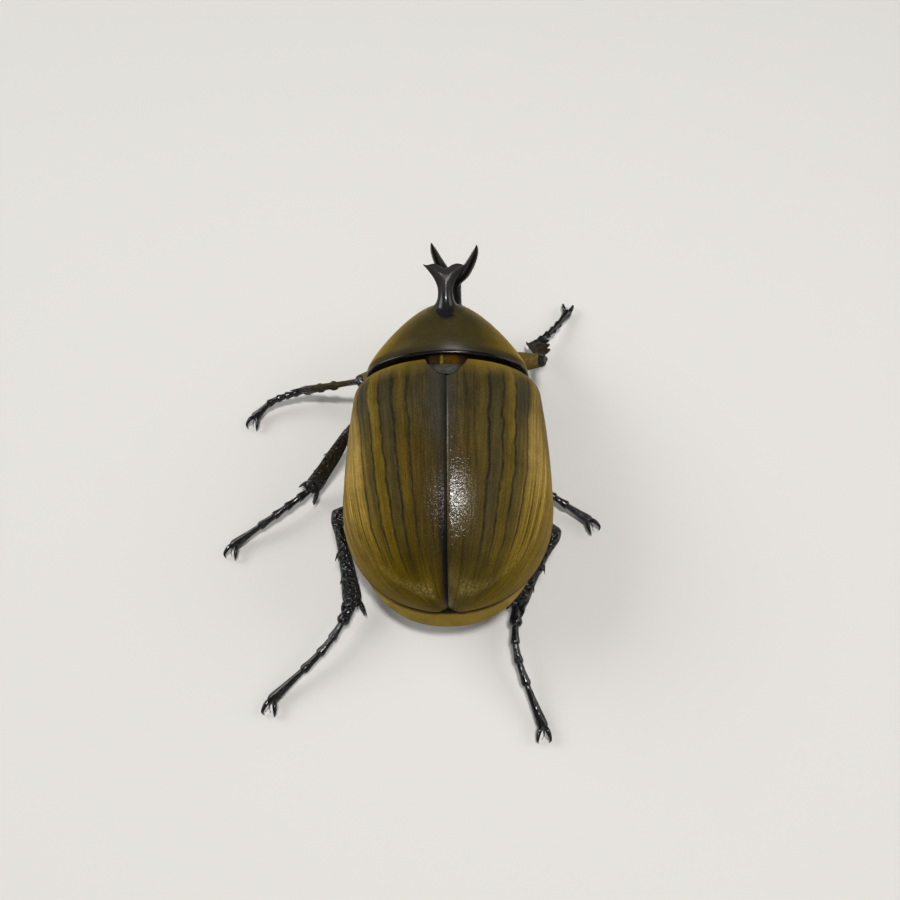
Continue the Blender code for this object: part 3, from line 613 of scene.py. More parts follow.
def wing_case(side, name):
    """Wing case with a rolled outer edge, flat below and along the seam."""
    right = side > 0

    def place(across, along):
        y = wing_row_y(along)
        if across <= WING_BACK:
            return wing_section(side, across / WING_BACK, y)
        edge = wing_section(side, 1.0, y)
        roll = min(ROLL_WIDTH, max(0.0, abs(edge.x) - SEAM))
        if across <= WING_ROLL:
            turn = (across - WING_BACK) / (WING_ROLL - WING_BACK) * math.pi / 2.0
            return edge + Vector((-side * roll * (1.0 - math.cos(turn)), 0.0, -ROLL_DROP * math.sin(turn)))
        inner = Vector((side * SEAM, y, edge.z - ROLL_DROP))
        outer = edge + Vector((-side * roll, 0.0, -ROLL_DROP))
        if across <= WING_UNDER:
            return blend(outer, inner, (across - WING_ROLL) / (WING_UNDER - WING_ROLL))
        return blend(inner, wing_section(side, 0.0, y), (across - WING_UNDER) / (1.0 - WING_UNDER))

    def lay(across, along):
        v = wing_along(wing_row_y(along))
        spread = 1.0 + (BAND_SPREAD(v) - 1.0) * (RIGHT_SPREAD if right and v < 0.5 else 1.0)
        return (min(1.0, across / WING_BACK) / spread + (RIGHT_SHIFT if right else 0.0), v)

    case = skin(name, *WING_GRID, place, lay)
    marked(case, "rim", wing_rim)
    return marked(case, "notch", wing_notch)


def wing_rim(point):
    """How near a point of the wing case lies to its rear rim, which its finish paints black: partly the rim's
    own black, partly painted shade of the gap to the tail plate.
    """
    height = point.z - wing_edge_z(max(APEX_Y, point.y))
    return clamp(1.0 - (height - 0.1) / 0.5) * clamp((1.0 - point.y) / 8.0)


def wing_notch(point):
    """How near a point of the wing case lies to the notch that holds the small plate."""
    return clamp((plate_half_width(point.y) + 0.22 - abs(point.x)) / 0.2)


def shield_half_width(y):
    share = max(0.0, (y - SHIELD_WIDEST_Y) / (SHIELD_FRONT_Y - SHIELD_WIDEST_Y))
    return SHIELD_HALF_WIDTH - (SHIELD_HALF_WIDTH - SHIELD_FRONT_HALF_WIDTH) * share**SHIELD_TAPER


def shield_top_z(y):
    if y < SHIELD_TOP_Y:
        share = (SHIELD_TOP_Y - y) / (SHIELD_TOP_Y - SHIELD_REAR_Y)
        return SHIELD_TOP_Z - (SHIELD_TOP_Z - SHIELD_REAR_Z) * share**2
    share = (y - SHIELD_TOP_Y) / (SHIELD_FRONT_Y - SHIELD_TOP_Y)
    return SHIELD_TOP_Z - SHIELD_FRONT_DROP * share**2.6


def shield_along(y):
    return (y - SHIELD_REAR_Y) / (SHIELD_FRONT_Y - SHIELD_REAR_Y)


def shield_roof_z(x, y):
    """Height of the shield's back at a place."""
    y = min(max(y, SHIELD_REAR_Y), SHIELD_FRONT_Y)
    share = shield_along(y)
    bend = blend(SHIELD_ROOF_REAR, SHIELD_ROOF_FRONT, share)
    edge = blend(SHIELD_EDGE_REAR_Z, SHIELD_EDGE_FRONT_Z, share)
    reach = min(1.0, abs(x) / shield_half_width(y)) ** (1.0 / bend)
    return edge + (shield_top_z(y) - edge) * math.sqrt(max(0.0, 1.0 - reach**2)) ** bend


def shield_point(turn, y, shrink=0.0):
    """Point round the shield, turn being 0 at its right edge and a quarter turn on top."""
    share = shield_along(y)
    width, top = shield_half_width(y) - shrink, shield_top_z(y) - shrink
    edge = blend(SHIELD_EDGE_REAR_Z, SHIELD_EDGE_FRONT_Z, share)
    floor = SHIELD_BELLY_Z + SHIELD_BELLY_RISE * share**2 + shrink
    rise, reach = math.sin(turn), math.cos(turn)
    bend = blend(SHIELD_ROOF_REAR, SHIELD_ROOF_FRONT, share) if rise > 0 else SHIELD_BELLY_BEND
    x = width * math.copysign(abs(reach) ** bend, reach)
    z = edge + (top - edge) * rise**bend if rise > 0 else edge + (edge - floor) * rise
    arch = SHIELD_ARCH * (x / SHIELD_HALF_WIDTH) ** 2 * (1.0 - share) ** 3
    rim = SHIELD_RIM * hump(rise, 0.0, 0.05) * (1.0 - shrink)
    return Vector((x + math.copysign(rim, x), y - arch, z))


def shield():
    """Shield with a rolled rear rim and low rims along its sides, closed below by the breast plate."""

    def place(across, along):
        turn = across * 2.0 * math.pi - math.pi / 2.0
        rolled = max(0.0, 1.0 - along / SHIELD_ROLL)
        ahead = max(0.0, along - SHIELD_ROLL) / (1.0 - SHIELD_ROLL)
        y = blend(SHIELD_REAR_Y, SHIELD_FRONT_Y, ahead) + 0.6 * (1.0 - rolled) * min(1.0, along / SHIELD_ROLL)
        y = min(y, SHIELD_FRONT_Y) if along < 1.0 else SHIELD_FRONT_Y
        shrink = SHIELD_ROLL_DEPTH * (1.0 - math.sqrt(max(0.0, 1.0 - rolled**2)))
        return shield_point(turn, max(SHIELD_REAR_Y, y), shrink)

    shell = skin("shield", *SHIELD_GRID, place, lambda across, along: (abs(across - 0.5) * 2.0, along))
    wide = profile((0.0, 1.45), (0.35, 1.05), (0.7, 0.55), (0.92, 0.22), (1.0, 0.08))
    corners = []
    for side in (-1, 1):
        reach = smooth_path([mirrored(point, side) for point in SHIELD_CORNER], 6)
        corners.append(tube("corner", reach, wide, lambda share: wide(share) * 0.62, 24))
    return shell, corners


def rear_bead():
    """Polished bead along the rear margin of the shield."""
    start, sweep, steps = -14.0, 208.0, 90
    turns = [math.radians(start + sweep * step / steps) for step in range(steps + 1)]
    path = [shield_point(turn, SHIELD_REAR_Y + 0.12, 0.16) for turn in turns]
    size = profile((0.0, 0.2), (0.15, 0.36), (0.5, 0.34), (0.85, 0.36), (1.0, 0.2))
    return tube("shield_bead", path, size, size, 14, up=Vector((0.0, 1.0, 0.0)))


def horn_rim(out):
    """How far the rear rim of the horn's spoon reaches, with a dip at its middle."""
    return 0.95 - 2.0 * (1.0 - (out**2 + 0.03) ** 0.6)


def stem_ring(path, share):
    """Ring round the shield's horn at a share of its length. It flares to two points round a dip."""
    last = len(path) - 1
    at = share * last
    low = min(last - 1, int(at))
    centre = blend(path[low], path[low + 1], at - low)
    ahead = (path[min(low + 2, last)] - path[max(low - 1, 0)]).normalized()
    across = ahead.cross(UP).normalized()
    lift = across.cross(ahead)
    flare = max(0.0, share - HORN_FLARE_START) / (1.0 - HORN_FLARE_START)
    root = max(0.0, 1.0 - share * 1.5) ** 2
    wide = SHIELD_HORN_HALF_WIDTH + 0.55 * root + 2.7 * flare**2.1
    deep = SHIELD_HORN_HALF_WIDTH + 0.3 * root - 0.55 * share**2
    ring = []
    for step in range(HORN_SIDES):
        turn = 2.0 * math.pi * step / HORN_SIDES
        out, rise = math.cos(turn), math.sin(turn)
        keel = 1.0 + 0.06 * hump(rise, 1.0, 0.3)
        height = math.copysign(abs(rise) ** (1.0 + 0.5 * flare), rise)
        point = centre + across * wide * out + lift * deep * keel * height
        far = 0.55 + 0.4 * out**2 + 0.72 * math.sin(math.pi * out) ** 2
        point += ahead * flare**2 * blend(far, horn_rim(out), (1.0 + rise) / 2.0)
        point += lift * flare**2 * (0.55 * out**2)
        ring.append(point)
    return ring


def shield_horn():
    """Stout horn that grows out of the shield in a smooth collar and ends in a shallow, two-pointed spoon."""
    steps = HORN_STEPS
    path = smooth_path([Vector(point) for point in SHIELD_HORN], 14)
    rings = [stem_ring(path, step / steps) for step in range(steps + 1)]
    axis = (path[-1] - path[0]).normalized()

    def stem_point(at, column):
        low = min(steps - 1, int(at))
        return blend(rings[low][column], rings[low + 1][column], at - low)

    def proud(point):
        return max(point.z - shield_roof_z(point.x, point.y), point.y - SHIELD_FRONT_Y)

    collar = []
    for column in range(HORN_SIDES):
        crossing = next(row for row in range(1, steps + 1) if proud(rings[row][column]) > 0.0)
        before, after = proud(rings[crossing - 1][column]), proud(rings[crossing][column])
        crossing -= clamp(after / (after - before))
        leaves = stem_point(crossing, column)
        away = leaves - blend(path[0], path[-1], crossing / steps)
        away -= axis * away.dot(axis)
        away.z = 0.0
        foot = leaves + away.normalized() * COLLAR_SPREAD
        foot.y = min(foot.y, SHIELD_FRONT_Y - 0.2)
        foot.z = shield_roof_z(foot.x, foot.y)
        collar.append((foot, leaves, min(steps, crossing + COLLAR_RISE)))

    made = []
    for row in range(COLLAR_RINGS):
        t = row / (COLLAR_RINGS - 1)
        ring = []
        for column, (foot, leaves, end) in enumerate(collar):
            point = foot * (1.0 - t) ** 2 + leaves * 2.0 * t * (1.0 - t) + stem_point(end, column) * t**2
            floor = shield_roof_z(point.x, point.y) + (-0.05 if row == 0 else 0.01)
            if point.y < SHIELD_FRONT_Y - 0.3:
                point.z = floor if row == 0 else max(point.z, floor)
            ring.append(point)
        made.append(ring)
    ends = [end for _, _, end in collar]
    for row in range(1, steps + 1):
        places = [end + (steps - end) * row / steps for end in ends]
        made.append([stem_point(place, column) for column, place in enumerate(places)])
    tip = made[-1]
    middle = sum(tip, Vector()) / HORN_SIDES
    ahead = (path[-1] - path[-4]).normalized()
    for share, sink in SPOON_RINGS:
        made.append([blend(middle, point, share) - ahead * sink * (1.0 - 0.3 * share) for point in tip])
    return loft("shield_horn", made)


def spoon_share(point):
    """How far a point of the shield's horn lies in its dull hollow end or in the dull zone behind the rim."""
    tip = Vector(SHIELD_HORN[-1])
    ahead = (tip - Vector(SHIELD_HORN[-2])).normalized()
    beyond = (point - tip).dot(ahead)
    out = min(1.0, abs(point.x - tip.x) / SPOON_HALF_WIDTH)
    hollow = clamp((beyond - horn_rim(out) - 0.05) / 0.15)
    return max(hollow, DULL_SHARE * clamp((beyond + DULL_LENGTH) / DULL_FADE))


def head_turned(obj):
    """Turns and shifts a piece of the head on the neck."""
    shift = Matrix.Translation(HEAD_PIVOT + Vector((HEAD_SHIFT, 0.0, 0.0)))
    obj.data.transform(shift @ Matrix.Rotation(HEAD_TURN, 4, "Z") @ Matrix.Translation(-HEAD_PIVOT))
    return obj


def head_plate():
    """Head capsule with the ridges before the eyes, the raised edge of the lip plate and its two points."""
    rings = []
    for y, wide, high, z in HEAD_ROWS:
        rings.append(oval(Vector((0.0, y, z)), Vector((wide, 0.0, 0.0)), Vector((0.0, 0.0, high)), 40, 0.92))
    pieces = [loft("capsule", rings)]
    for name, centre, radii in HEAD_LUMPS:
        pieces.append(ball(name, Vector(centre), radii))
    size = profile((0.0, 0.3), (0.5, 0.28), (1.0, 0.24))
    for side in (-1, 1):
        for name, centre, radii in CHEEK_LUMPS:
            pieces.append(ball(name, mirrored(centre, side), radii))
        root, reach, bow = [mirrored(point, side) for point in (LIP_POINT, LIP_POINT_REACH, LIP_POINT_BOW)]
        pieces.append(thorn("lip_point", root, root + reach, 0.68, bow))
        rim = smooth_path([mirrored(point, side) for point in LIP_RIM], 5)
        pieces.append(tube("rim", rim, size, size, 10))
    return head_turned(melted("head_plate", pieces, HEAD_GRAIN))


def head_horn():
    """Long horn of the head, curved upwards, parted like a lyre."""
    path = smooth_path([Vector(point) for point in HEAD_HORN], 8)
    forward = Vector((0.0, -1.0, 0.3))
    wide = profile((0.0, 2.5), (0.2, 1.95), (0.45, 1.5), (0.75, 1.35), (1.0, 1.6))
    deep = profile((0.0, 2.3), (0.2, 1.7), (0.5, 1.3), (0.8, 1.12), (1.0, 1.05))
    pieces = [tube("stem", path, wide, deep, 28, up=forward)]
    size = profile((0.0, 1.15), (0.25, 1.25), (0.5, 1.08), (0.75, 0.74), (0.92, 0.36), (1.0, 0.17))
    for side in (-1, 1):
        tine = smooth_path([mirrored(point, side) for point in HEAD_TINE], 7)
        pieces.append(tube("tine", tine, lambda share: size(share) * 0.9, size, 24, up=forward))
    return head_turned(melted("head_horn", pieces, HORN_GRAIN, 8))


def feeler(side, name):
    """Elbowed feeler: a long first joint, small beads, and a club of three leaves."""
    root, elbow, end = [mirrored(point, side) for point in FEELER]
    first = profile((0.0, 0.34), (0.3, 0.38), (0.8, 0.52), (1.0, 0.42))
    bow = blend(root, elbow, 0.5) + Vector((0.0, 0.15, 0.1))
    pieces = [tube("scape", smooth_path([root, bow, elbow], 6), first, first, 16)]
    for bead in range(FEELER_BEADS):
        share = (bead + 0.5) / FEELER_BEADS
        radius = 0.34 + 0.06 * share
        pieces.append(ball("bead", blend(elbow, end, share), (radius, radius * 0.85, radius), segments=14))
    for leaf in (-1, 0, 1):
        turn = Matrix.Rotation(side * 0.2, 4, "Z") @ Matrix.Rotation(0.12 * leaf, 4, "X")
        centre = end + Vector((side * -0.2, 1.1, 0.45 * leaf - 0.1))
        pieces.append(ball("leaf", centre, FEELER_LEAF, turn, 20))
    return head_turned(joined(name, pieces))


def jaw(side, name):
    """Flat jaw with two upturned lobes."""
    path = smooth_path([mirrored(point, side) for point in JAW], 8)
    wide = profile((0.0, 1.1), (0.3, 1.05), (0.6, 0.95), (0.85, 0.6), (1.0, 0.3))
    pieces = [tube("blade", path, wide, lambda share: wide(share) * 0.5, 20)]
    root, reach = mirrored(JAW_LOBE, side), mirrored(JAW_LOBE_REACH, side)
    pieces.append(thorn("lobe", root, root + reach, 0.55))
    return head_turned(melted(name, pieces, 0.1))


def palp(side, name):
    """Jointed palp under the jaw."""
    path = smooth_path([mirrored(point, side) for point in PALP], 12)
    size = profile((0.0, 0.36), (0.2, 0.44), (0.3, 0.33), (0.5, 0.46), (0.6, 0.34), (0.85, 0.5), (1.0, 0.28))
    return head_turned(tube(name, path, size, size, 16))


def eye(side, name):
    return head_turned(ball(name, mirrored(EYE, side), EYE_RADII, segments=40))


def walled(sheet, thickness):
    """Gives a sheet its thickness, downwards."""
    shell = sheet.modifiers.new("Thickness", "SOLIDIFY")
    shell.thickness = thickness
    shell.offset = -1.0
    return baked(sheet)


def plate():
    """Small plate let in between the bases of the wing cases, with rounded edges."""

    def place(across, along):
        y = BASE_Y - PLATE_LENGTH * blend(PLATE_START, PLATE_END, along)
        half = max(0.02, plate_half_width(y) + 0.03)
        out = abs(across * 2.0 - 1.0)
        x = (across * 2.0 - 1.0) * half
        edge = max(0.0, out * half - half + PLATE_EDGE) / PLATE_EDGE
        front = max(0.0, 1.0 - along * 9.0)
        return Vector((x, y, wing_crest_z(y) + 0.05 - 0.012 * x * x - 0.14 * edge**2 - 0.3 * front**2))

    return walled(skin("scutellum_plate", *PLATE_GRID, place, lambda u, v: (u, v)), 0.4)


def neck_membrane():
    """Soft skin between the shield and the small plate, in fine folds."""

    def place(across, along):
        x, y = (across * 2.0 - 1.0) * MEMBRANE_HALF_WIDTH, MEMBRANE_FRONT_Y - MEMBRANE_LENGTH * along
        folds = 0.05 * math.sin(y * 14.0 + math.sin(x * 2.1))
        folds += 0.04 * noise.noise(Vector((x * 1.5, y * 1.5, 0.0)))
        return Vector((x, y, wing_crest_z(min(y, BASE_Y)) - 0.2 - 0.012 * x * x + folds))

    return walled(skin("neck_membrane", *MEMBRANE_GRID, place, lambda u, v: (u, v)), 0.2)


def trunk_half_width(y):
    if y > TRUNK_WIDEST_Y:
        return wing_half_width(y) - TRUNK_INSET
    share = min(1.0, (TRUNK_WIDEST_Y - y) / (TRUNK_WIDEST_Y - TRUNK_END_Y))
    return (wing_half_width(TRUNK_WIDEST_Y) - TRUNK_INSET) * (1.0 - share**2.6) ** (1.0 / 2.3)


def breast_groove(x, y):
    """Depth of the seams between the plates of the breast, as a share of the deepest."""
    groove = hump(x, 0.0, 0.35) * hump(y, 0.0, 6.0)
    groove += hump(y, 12.5 - 0.08 * abs(x), 0.25) * (1.0 if abs(x) > 1.5 else 0.3)
    groove += hump(y, -1.0 + 0.1 * abs(x), 0.25)
    return groove


def trunk():
    """Breast and belly in one, with the laps of the belly plates and the seams of the breast plates."""

    def place(across, along):
        if along < TRUNK_BREAST:
            y = blend(TRUNK_FRONT_Y, WAIST_Y, along / TRUNK_BREAST)
        else:
            share = (along - TRUNK_BREAST) / (1.0 - TRUNK_BREAST)
            y = blend(WAIST_Y, TRUNK_END_Y, math.sin(share * math.pi / 2.0))
        closing = max(0.0, (CLOSING_Y - y) / (CLOSING_Y - TRUNK_END_Y))
        rear = max(0.0, (WAIST_Y - y) / (WAIST_Y - TRUNK_END_Y))
        width = max(0.02, trunk_half_width(y))
        roof = wing_edge_z(max(y, APEX_Y)) - 0.3 - ROOF_FALL * closing**3
        flank = blend(roof - TRUNK_FLANK, TAIL_Z, closing)
        lap = VENTRITE_LAP * (rear * VENTRITES % 1.0) if 0.0 < rear < 0.9 else 0.0
        floor = BELLY_Z + BELLY_RISE * rear**3 + lap
        turn = across * 2.0 * math.pi + math.pi / 2.0
        rise, reach = math.sin(turn), math.cos(turn)
        x = width * math.copysign(abs(reach) ** 0.9, reach)
        if rise > 0:
            return Vector((x, y, flank + (roof - flank) * rise))
        z = flank + (flank - floor) * rise
        if y > WAIST_Y:
            z += BREAST_GROOVE * breast_groove(x, y)
        return Vector((x, y, z))

    return skin("trunk", *TRUNK_GRID, place, lambda across, along: (across, along))


def sliced(obj, name, point, normal):
    """The part of a closed shell on the far side of a plane, closed again."""
    bm = bmesh.new()
    bm.from_mesh(obj.data)
    geometry = [*bm.verts, *bm.edges, *bm.faces]
    cut = bmesh.ops.bisect_plane(bm, geom=geometry, plane_co=point, plane_no=normal, clear_inner=True)
    rim = [item for item in cut["geom_cut"] if isinstance(item, bmesh.types.BMEdge)]
    bmesh.ops.holes_fill(bm, edges=rim, sides=0)
    return mesh_object(name, bm)


def trunk_parts():
    """Breast, belly and tail plate, cut from the trunk with a fine gap between them."""
    whole = trunk()
    back = Vector((0.0, -1.0, 0.0))
    breast = sliced(whole, "breast", Vector((0.0, WAIST_Y + SEAM, 0.0)), -back)
    rear = sliced(whole, "rear", Vector((0.0, WAIST_Y - SEAM, 0.0)), back)
    belly = sliced(rear, "belly", TAIL_CUT - TAIL_CUT_NORMAL * SEAM, -TAIL_CUT_NORMAL)
    tail = sliced(rear, "tail_plate", TAIL_CUT + TAIL_CUT_NORMAL * SEAM, TAIL_CUT_NORMAL)
    for helper in (whole, rear):
        bpy.data.objects.remove(helper, do_unlink=True)
    return breast, belly, tail


def foot_knots(ankle, bend, toe):
    """Joints of the foot, set out along a curve from the ankle through its middle to the claws."""
    curve = smooth_path([ankle, bend, toe], 12)
    steps = [(far - near).length for near, far in zip(curve, curve[1:])]
    ends = [sum(steps) * sum(TARSOMERES[:count]) for count in range(1, len(TARSOMERES))]
    knots, travelled = [ankle], 0.0
    for step, near, far in zip(steps, curve, curve[1:]):
        while ends and ends[0] <= travelled + step:
            knots.append(blend(near, far, (ends.pop(0) - travelled) / step))
        travelled += step
    return [*knots, toe]


def foot(label, knots):
    """Foot of five bell-shaped joints with small thorns at their ends."""
    bell = profile((0.0, 0.52), (0.1, 0.58), (0.5, 0.64), (0.8, 0.78), (0.95, 0.84), (1.0, 0.76))
    last = profile((0.0, 0.5), (0.2, 0.58), (0.5, 0.74), (0.8, 0.92), (0.95, 0.96), (1.0, 0.82))
    stout = profile((0.0, 0.75), (0.2, 0.85), (0.6, 1.0), (0.9, 1.2), (1.0, 1.05))
    pieces = []
    claw_joint = len(knots) - 2
    for index in range(len(knots) - 1):
        near, far = knots[index], knots[index + 1]
        before = knots[max(0, index - 1)]
        after = knots[min(len(knots) - 1, index + 2)]
        middle = blend(near, far, 0.5) + (near - before + far - after) * 0.03
        end = blend(near, far, 0.97)
        path = smooth_path([blend(near, far, -0.04), middle, end], 9)
        size = stout if index == 0 and "hind" in label else bell if index < claw_joint else last
        pieces.append(tube("joint", path, size, size, 22))
        ahead = (far - near).normalized()
        across = ahead.cross(UP).normalized()
        if index < claw_joint:
            for hand in (-1, 1):
                root = blend(near, far, 0.86) + across * hand * 0.5 - UP * 0.35
                tip = root + ahead * 0.6 + across * hand * 0.1 - UP * 0.25
                pieces.append(thorn("bristle", root, tip, 0.09, sides=6))
    return joined(f"foot_{label}", pieces)


def claws(label, side, knots, heading):
    """Pair of hooked claws, and the small bristled peg between them."""
    ahead = (knots[-1] - knots[-2]).normalized()
    turn = math.radians(heading)
    level = Vector((side * math.cos(turn), math.sin(turn), 0.0))
    sideways = Vector((-level.y, level.x, 0.0))
    size = profile((0.0, 0.44), (0.25, 0.42), (0.6, 0.28), (1.0, 0.07))
    pieces = []
    for hand in (-1, 1):
        root = knots[-1] - ahead * 0.5 + sideways * hand * 0.26
        out = root + (level * 0.55 + sideways * hand * 0.30) * CLAW_LENGTH * 0.7 + UP * 0.35
        over = root + (level * 0.88 + sideways * hand * 0.33) * CLAW_LENGTH * 0.95 + UP * 0.05
        tip = root + (level * 1.0 + sideways * hand * 0.24) * CLAW_LENGTH * 1.02
        tip.z = CLAW_TIP_Z
        pieces.append(tube("claw", smooth_path([root, out, over, tip], 7), size, size, 16))
    peg = knots[-1] - UP * 0.3
    thin = profile((0.0, 0.16), (1.0, 0.09))
    line = [peg, peg + level * 0.6 - UP * 0.1, peg + level * 1.1 - UP * 0.2]
    pieces.append(tube("peg", line, thin, thin, 8))
    for hand in (-1, 1):
        start = peg + level * 1.0 - UP * 0.18
        pieces.append(thorn("bristle", start, start + level * 0.7 + sideways * hand * 0.45, 0.06, sides=6))
    return joined(f"claws_{label}", pieces)


def bowed(start, end, bow):
    """Points from start to end along a line that bow bends at its middle."""
    shares = [step / BONE_STEPS for step in range(BONE_STEPS + 1)]
    return [blend(start, end, share) + bow * math.sin(share * math.pi) for share in shares]


def shin(label, pair, knee, ankle, guide):
    """Shin that widens to the ankle, with teeth or combs of spines, and spurs round its end."""
    axis = (ankle - knee).normalized()
    outer = (guide - axis * guide.dot(axis)).normalized()
    flat = axis.cross(outer).normalized()
    length = (ankle - knee).length
    broad, thick = SHIN_BUILD[pair]
    middle = 0.28 if pair == "middle" else 0.0
    wide = profile(
        (0.0, 0.8), (0.06, 0.98), (0.22, 0.92 + middle), (0.45, 1.18 + middle), (0.7, 1.45 + middle * 0.3),
        (0.9, 1.75), (1.0, 1.6),
    )
    deep = profile((0.0, 0.8), (0.06, 0.92), (0.2, 0.85), (0.45, 0.95), (0.7, 1.08), (0.9, 1.25), (1.0, 1.1))
    path = bowed(knee, ankle, outer * (-0.35 if pair == "hind" else -0.15))
    broadly, thickly = lambda share: wide(share) * broad, lambda share: deep(share) * thick
    pieces = [tube("shaft", path, broadly, thickly, 30, up=flat, squareness=0.94)]
    extra = []
    if pair == "front":
        for at, reach in FRONT_TEETH:
            root = knee + axis * length * at
            tip = root + outer * (1.0 + reach) + axis * reach * 0.7
            pieces.append(thorn("tooth", root, tip, 1.0, -axis * 0.1, 18, 0.2))
        root, tip = ankle - axis * 1.2 - outer * 0.7, ankle + axis * 2.2 - outer * 1.7
        extra.append(thorn("spur", root, tip, 0.42, -outer * 0.3))
        return finished_shin(label, pieces, extra)
    for at in COMBS:
        centre = knee + axis * length * at
        for lean in (-1.2, -0.6, 0.0, 0.6, 1.2):
            spread = (outer * math.cos(lean) + flat * math.sin(lean)).normalized()
            root = centre + spread * 0.35 + axis * (0.25 * abs(lean))
            ridge_tip = root + spread * 0.95 * broad + axis * 0.8
            pieces.append(thorn("ridge", root, ridge_tip, 0.5, sides=12, blunt=0.3))
            spine_tip = root + spread * 1.25 + axis * 1.25
            extra.append(thorn("spine", root + spread * 0.5 * broad, spine_tip, 0.17, sides=7))
    for step in range(CROWN_SPINES):
        turn = 2.0 * math.pi * step / CROWN_SPINES + 0.3
        spread = outer * math.cos(turn) * 1.05 * broad + flat * math.sin(turn) * 0.85 * thick
        root = ankle - axis * 0.9 + spread * 0.85
        pieces.append(thorn("crown", root, root + axis * 1.3 + spread * 0.55, 0.55, sides=12, blunt=0.25))
        extra.append(thorn("spine", root + axis * 0.2, root + axis * 1.9 + spread * 0.8, 0.17, sides=7))
    for across, up, reach in SPURS:
        spread = outer * across + flat * up
        root = ankle - axis * 1.1 + spread * 0.7
        tip = root + axis * reach + spread * 1.5
        extra.append(thorn("spur", root, tip, 0.56, spread * 0.25, sides=14, blunt=0.2))
    return finished_shin(label, pieces, extra)


def finished_shin(label, pieces, extra):
    return joined(f"shin_{label}", [melted("shaft", pieces, SHIN_GRAIN, 5), *extra])


def thigh(label, hip, knee, thick):
    """Flattened spindle from the hip to the knee, with a lip round the knee joint."""
    axis = (knee - hip).normalized()
    path = bowed(hip, knee, UP * 0.3)
    swell = profile(
        (0.0, 0.7), (0.12, 0.95), (0.35, 1.14), (0.6, 1.08), (0.85, 0.8), (0.95, 0.68), (1.0, 0.6),
    )
    broadly, thickly = lambda share: swell(share) * thick, lambda share: swell(share) * thick * 0.72
    pieces = [tube("spindle", path, broadly, thickly, 32, squareness=0.95)]
    pieces.append(ball("trochanter", hip + axis * 0.4 - UP * 0.4, (1.5, 1.5, 1.3)))
    for hand in (-1, 1):
        across = axis.cross(UP).normalized() * hand
        pieces.append(ball("knee_lip", knee - axis * 0.4 + across * 0.75 * thick * 0.5, (0.62, 0.62, 0.62)))
    return melted(f"thigh_{label}", pieces, THIGH_GRAIN, 5)


def hip_joint(label, hip, knee):
    turn = Matrix.Rotation(math.atan2(knee.y - hip.y, knee.x - hip.x), 4, "Z")
    return ball(f"hip_{label}", hip, (3.0, 2.3, 2.3), turn, 36)


# Tones across a wing case from its seam to its side: at its middle, front and rear, and on its front margin
WING_MIDDLE_TONES = (
    (0.0, (0.028, 0.022, 0.013)), (0.05, (0.038, 0.025, 0.006)), (0.13, (0.050, 0.032, 0.004)),
    (0.17, (0.058, 0.037, 0.003)), (0.205, (0.070, 0.045, 0.003)), (0.24, (0.054, 0.037, 0.004)),
    (0.262, (0.043, 0.031, 0.009)), (0.305, (0.046, 0.033, 0.008)), (0.335, (0.078, 0.051, 0.004)),
    (0.37, (0.118, 0.075, 0.005)), (0.402, (0.105, 0.068, 0.005)), (0.422, (0.066, 0.048, 0.010)),
    (0.455, (0.080, 0.056, 0.012)), (0.50, (0.135, 0.090, 0.018)), (0.54, (0.20, 0.130, 0.024)),
    (0.59, (0.24, 0.155, 0.024)), (0.625, (0.20, 0.133, 0.026)), (0.68, (0.26, 0.168, 0.028)),
    (0.75, (0.32, 0.210, 0.044)), (0.82, (0.25, 0.160, 0.030)), (0.88, (0.21, 0.135, 0.026)),
    (0.95, (0.28, 0.185, 0.045)), (1.0, (0.26, 0.170, 0.040)),
)
WING_FRONT_TONES = (
    (0.0, (0.034, 0.030, 0.022)), (0.06, (0.039, 0.031, 0.014)), (0.17, (0.045, 0.033, 0.010)),
    (0.21, (0.072, 0.051, 0.007)), (0.24, (0.042, 0.033, 0.010)), (0.27, (0.033, 0.028, 0.012)),
    (0.31, (0.044, 0.035, 0.011)), (0.34, (0.076, 0.053, 0.008)), (0.375, (0.120, 0.082, 0.008)),
    (0.405, (0.130, 0.088, 0.014)), (0.43, (0.055, 0.043, 0.014)), (0.48, (0.053, 0.042, 0.016)),
    (0.52, (0.115, 0.080, 0.020)), (0.57, (0.150, 0.100, 0.018)), (0.61, (0.200, 0.133, 0.024)),
    (0.66, (0.150, 0.100, 0.016)), (0.72, (0.130, 0.085, 0.014)), (0.8, (0.190, 0.125, 0.028)),
    (1.0, (0.180, 0.120, 0.028)),
)
WING_REAR_TONES = (
    (0.0, (0.022, 0.016, 0.005)), (0.04, (0.036, 0.024, 0.002)), (0.2, (0.046, 0.031, 0.0015)),
    (0.32, (0.062, 0.041, 0.0015)), (0.42, (0.076, 0.050, 0.002)), (0.55, (0.092, 0.060, 0.003)),
    (0.65, (0.088, 0.058, 0.002)), (0.85, (0.125, 0.082, 0.005)), (1.0, (0.125, 0.082, 0.008)),
)
WING_MARGIN_TONES = (
    (0.05, (0.055, 0.042, 0.018)), (0.1, (0.115, 0.078, 0.011)), (0.3, (0.20, 0.132, 0.018)),
    (0.55, (0.13, 0.088, 0.022)), (0.8, (0.17, 0.115, 0.024)),
)


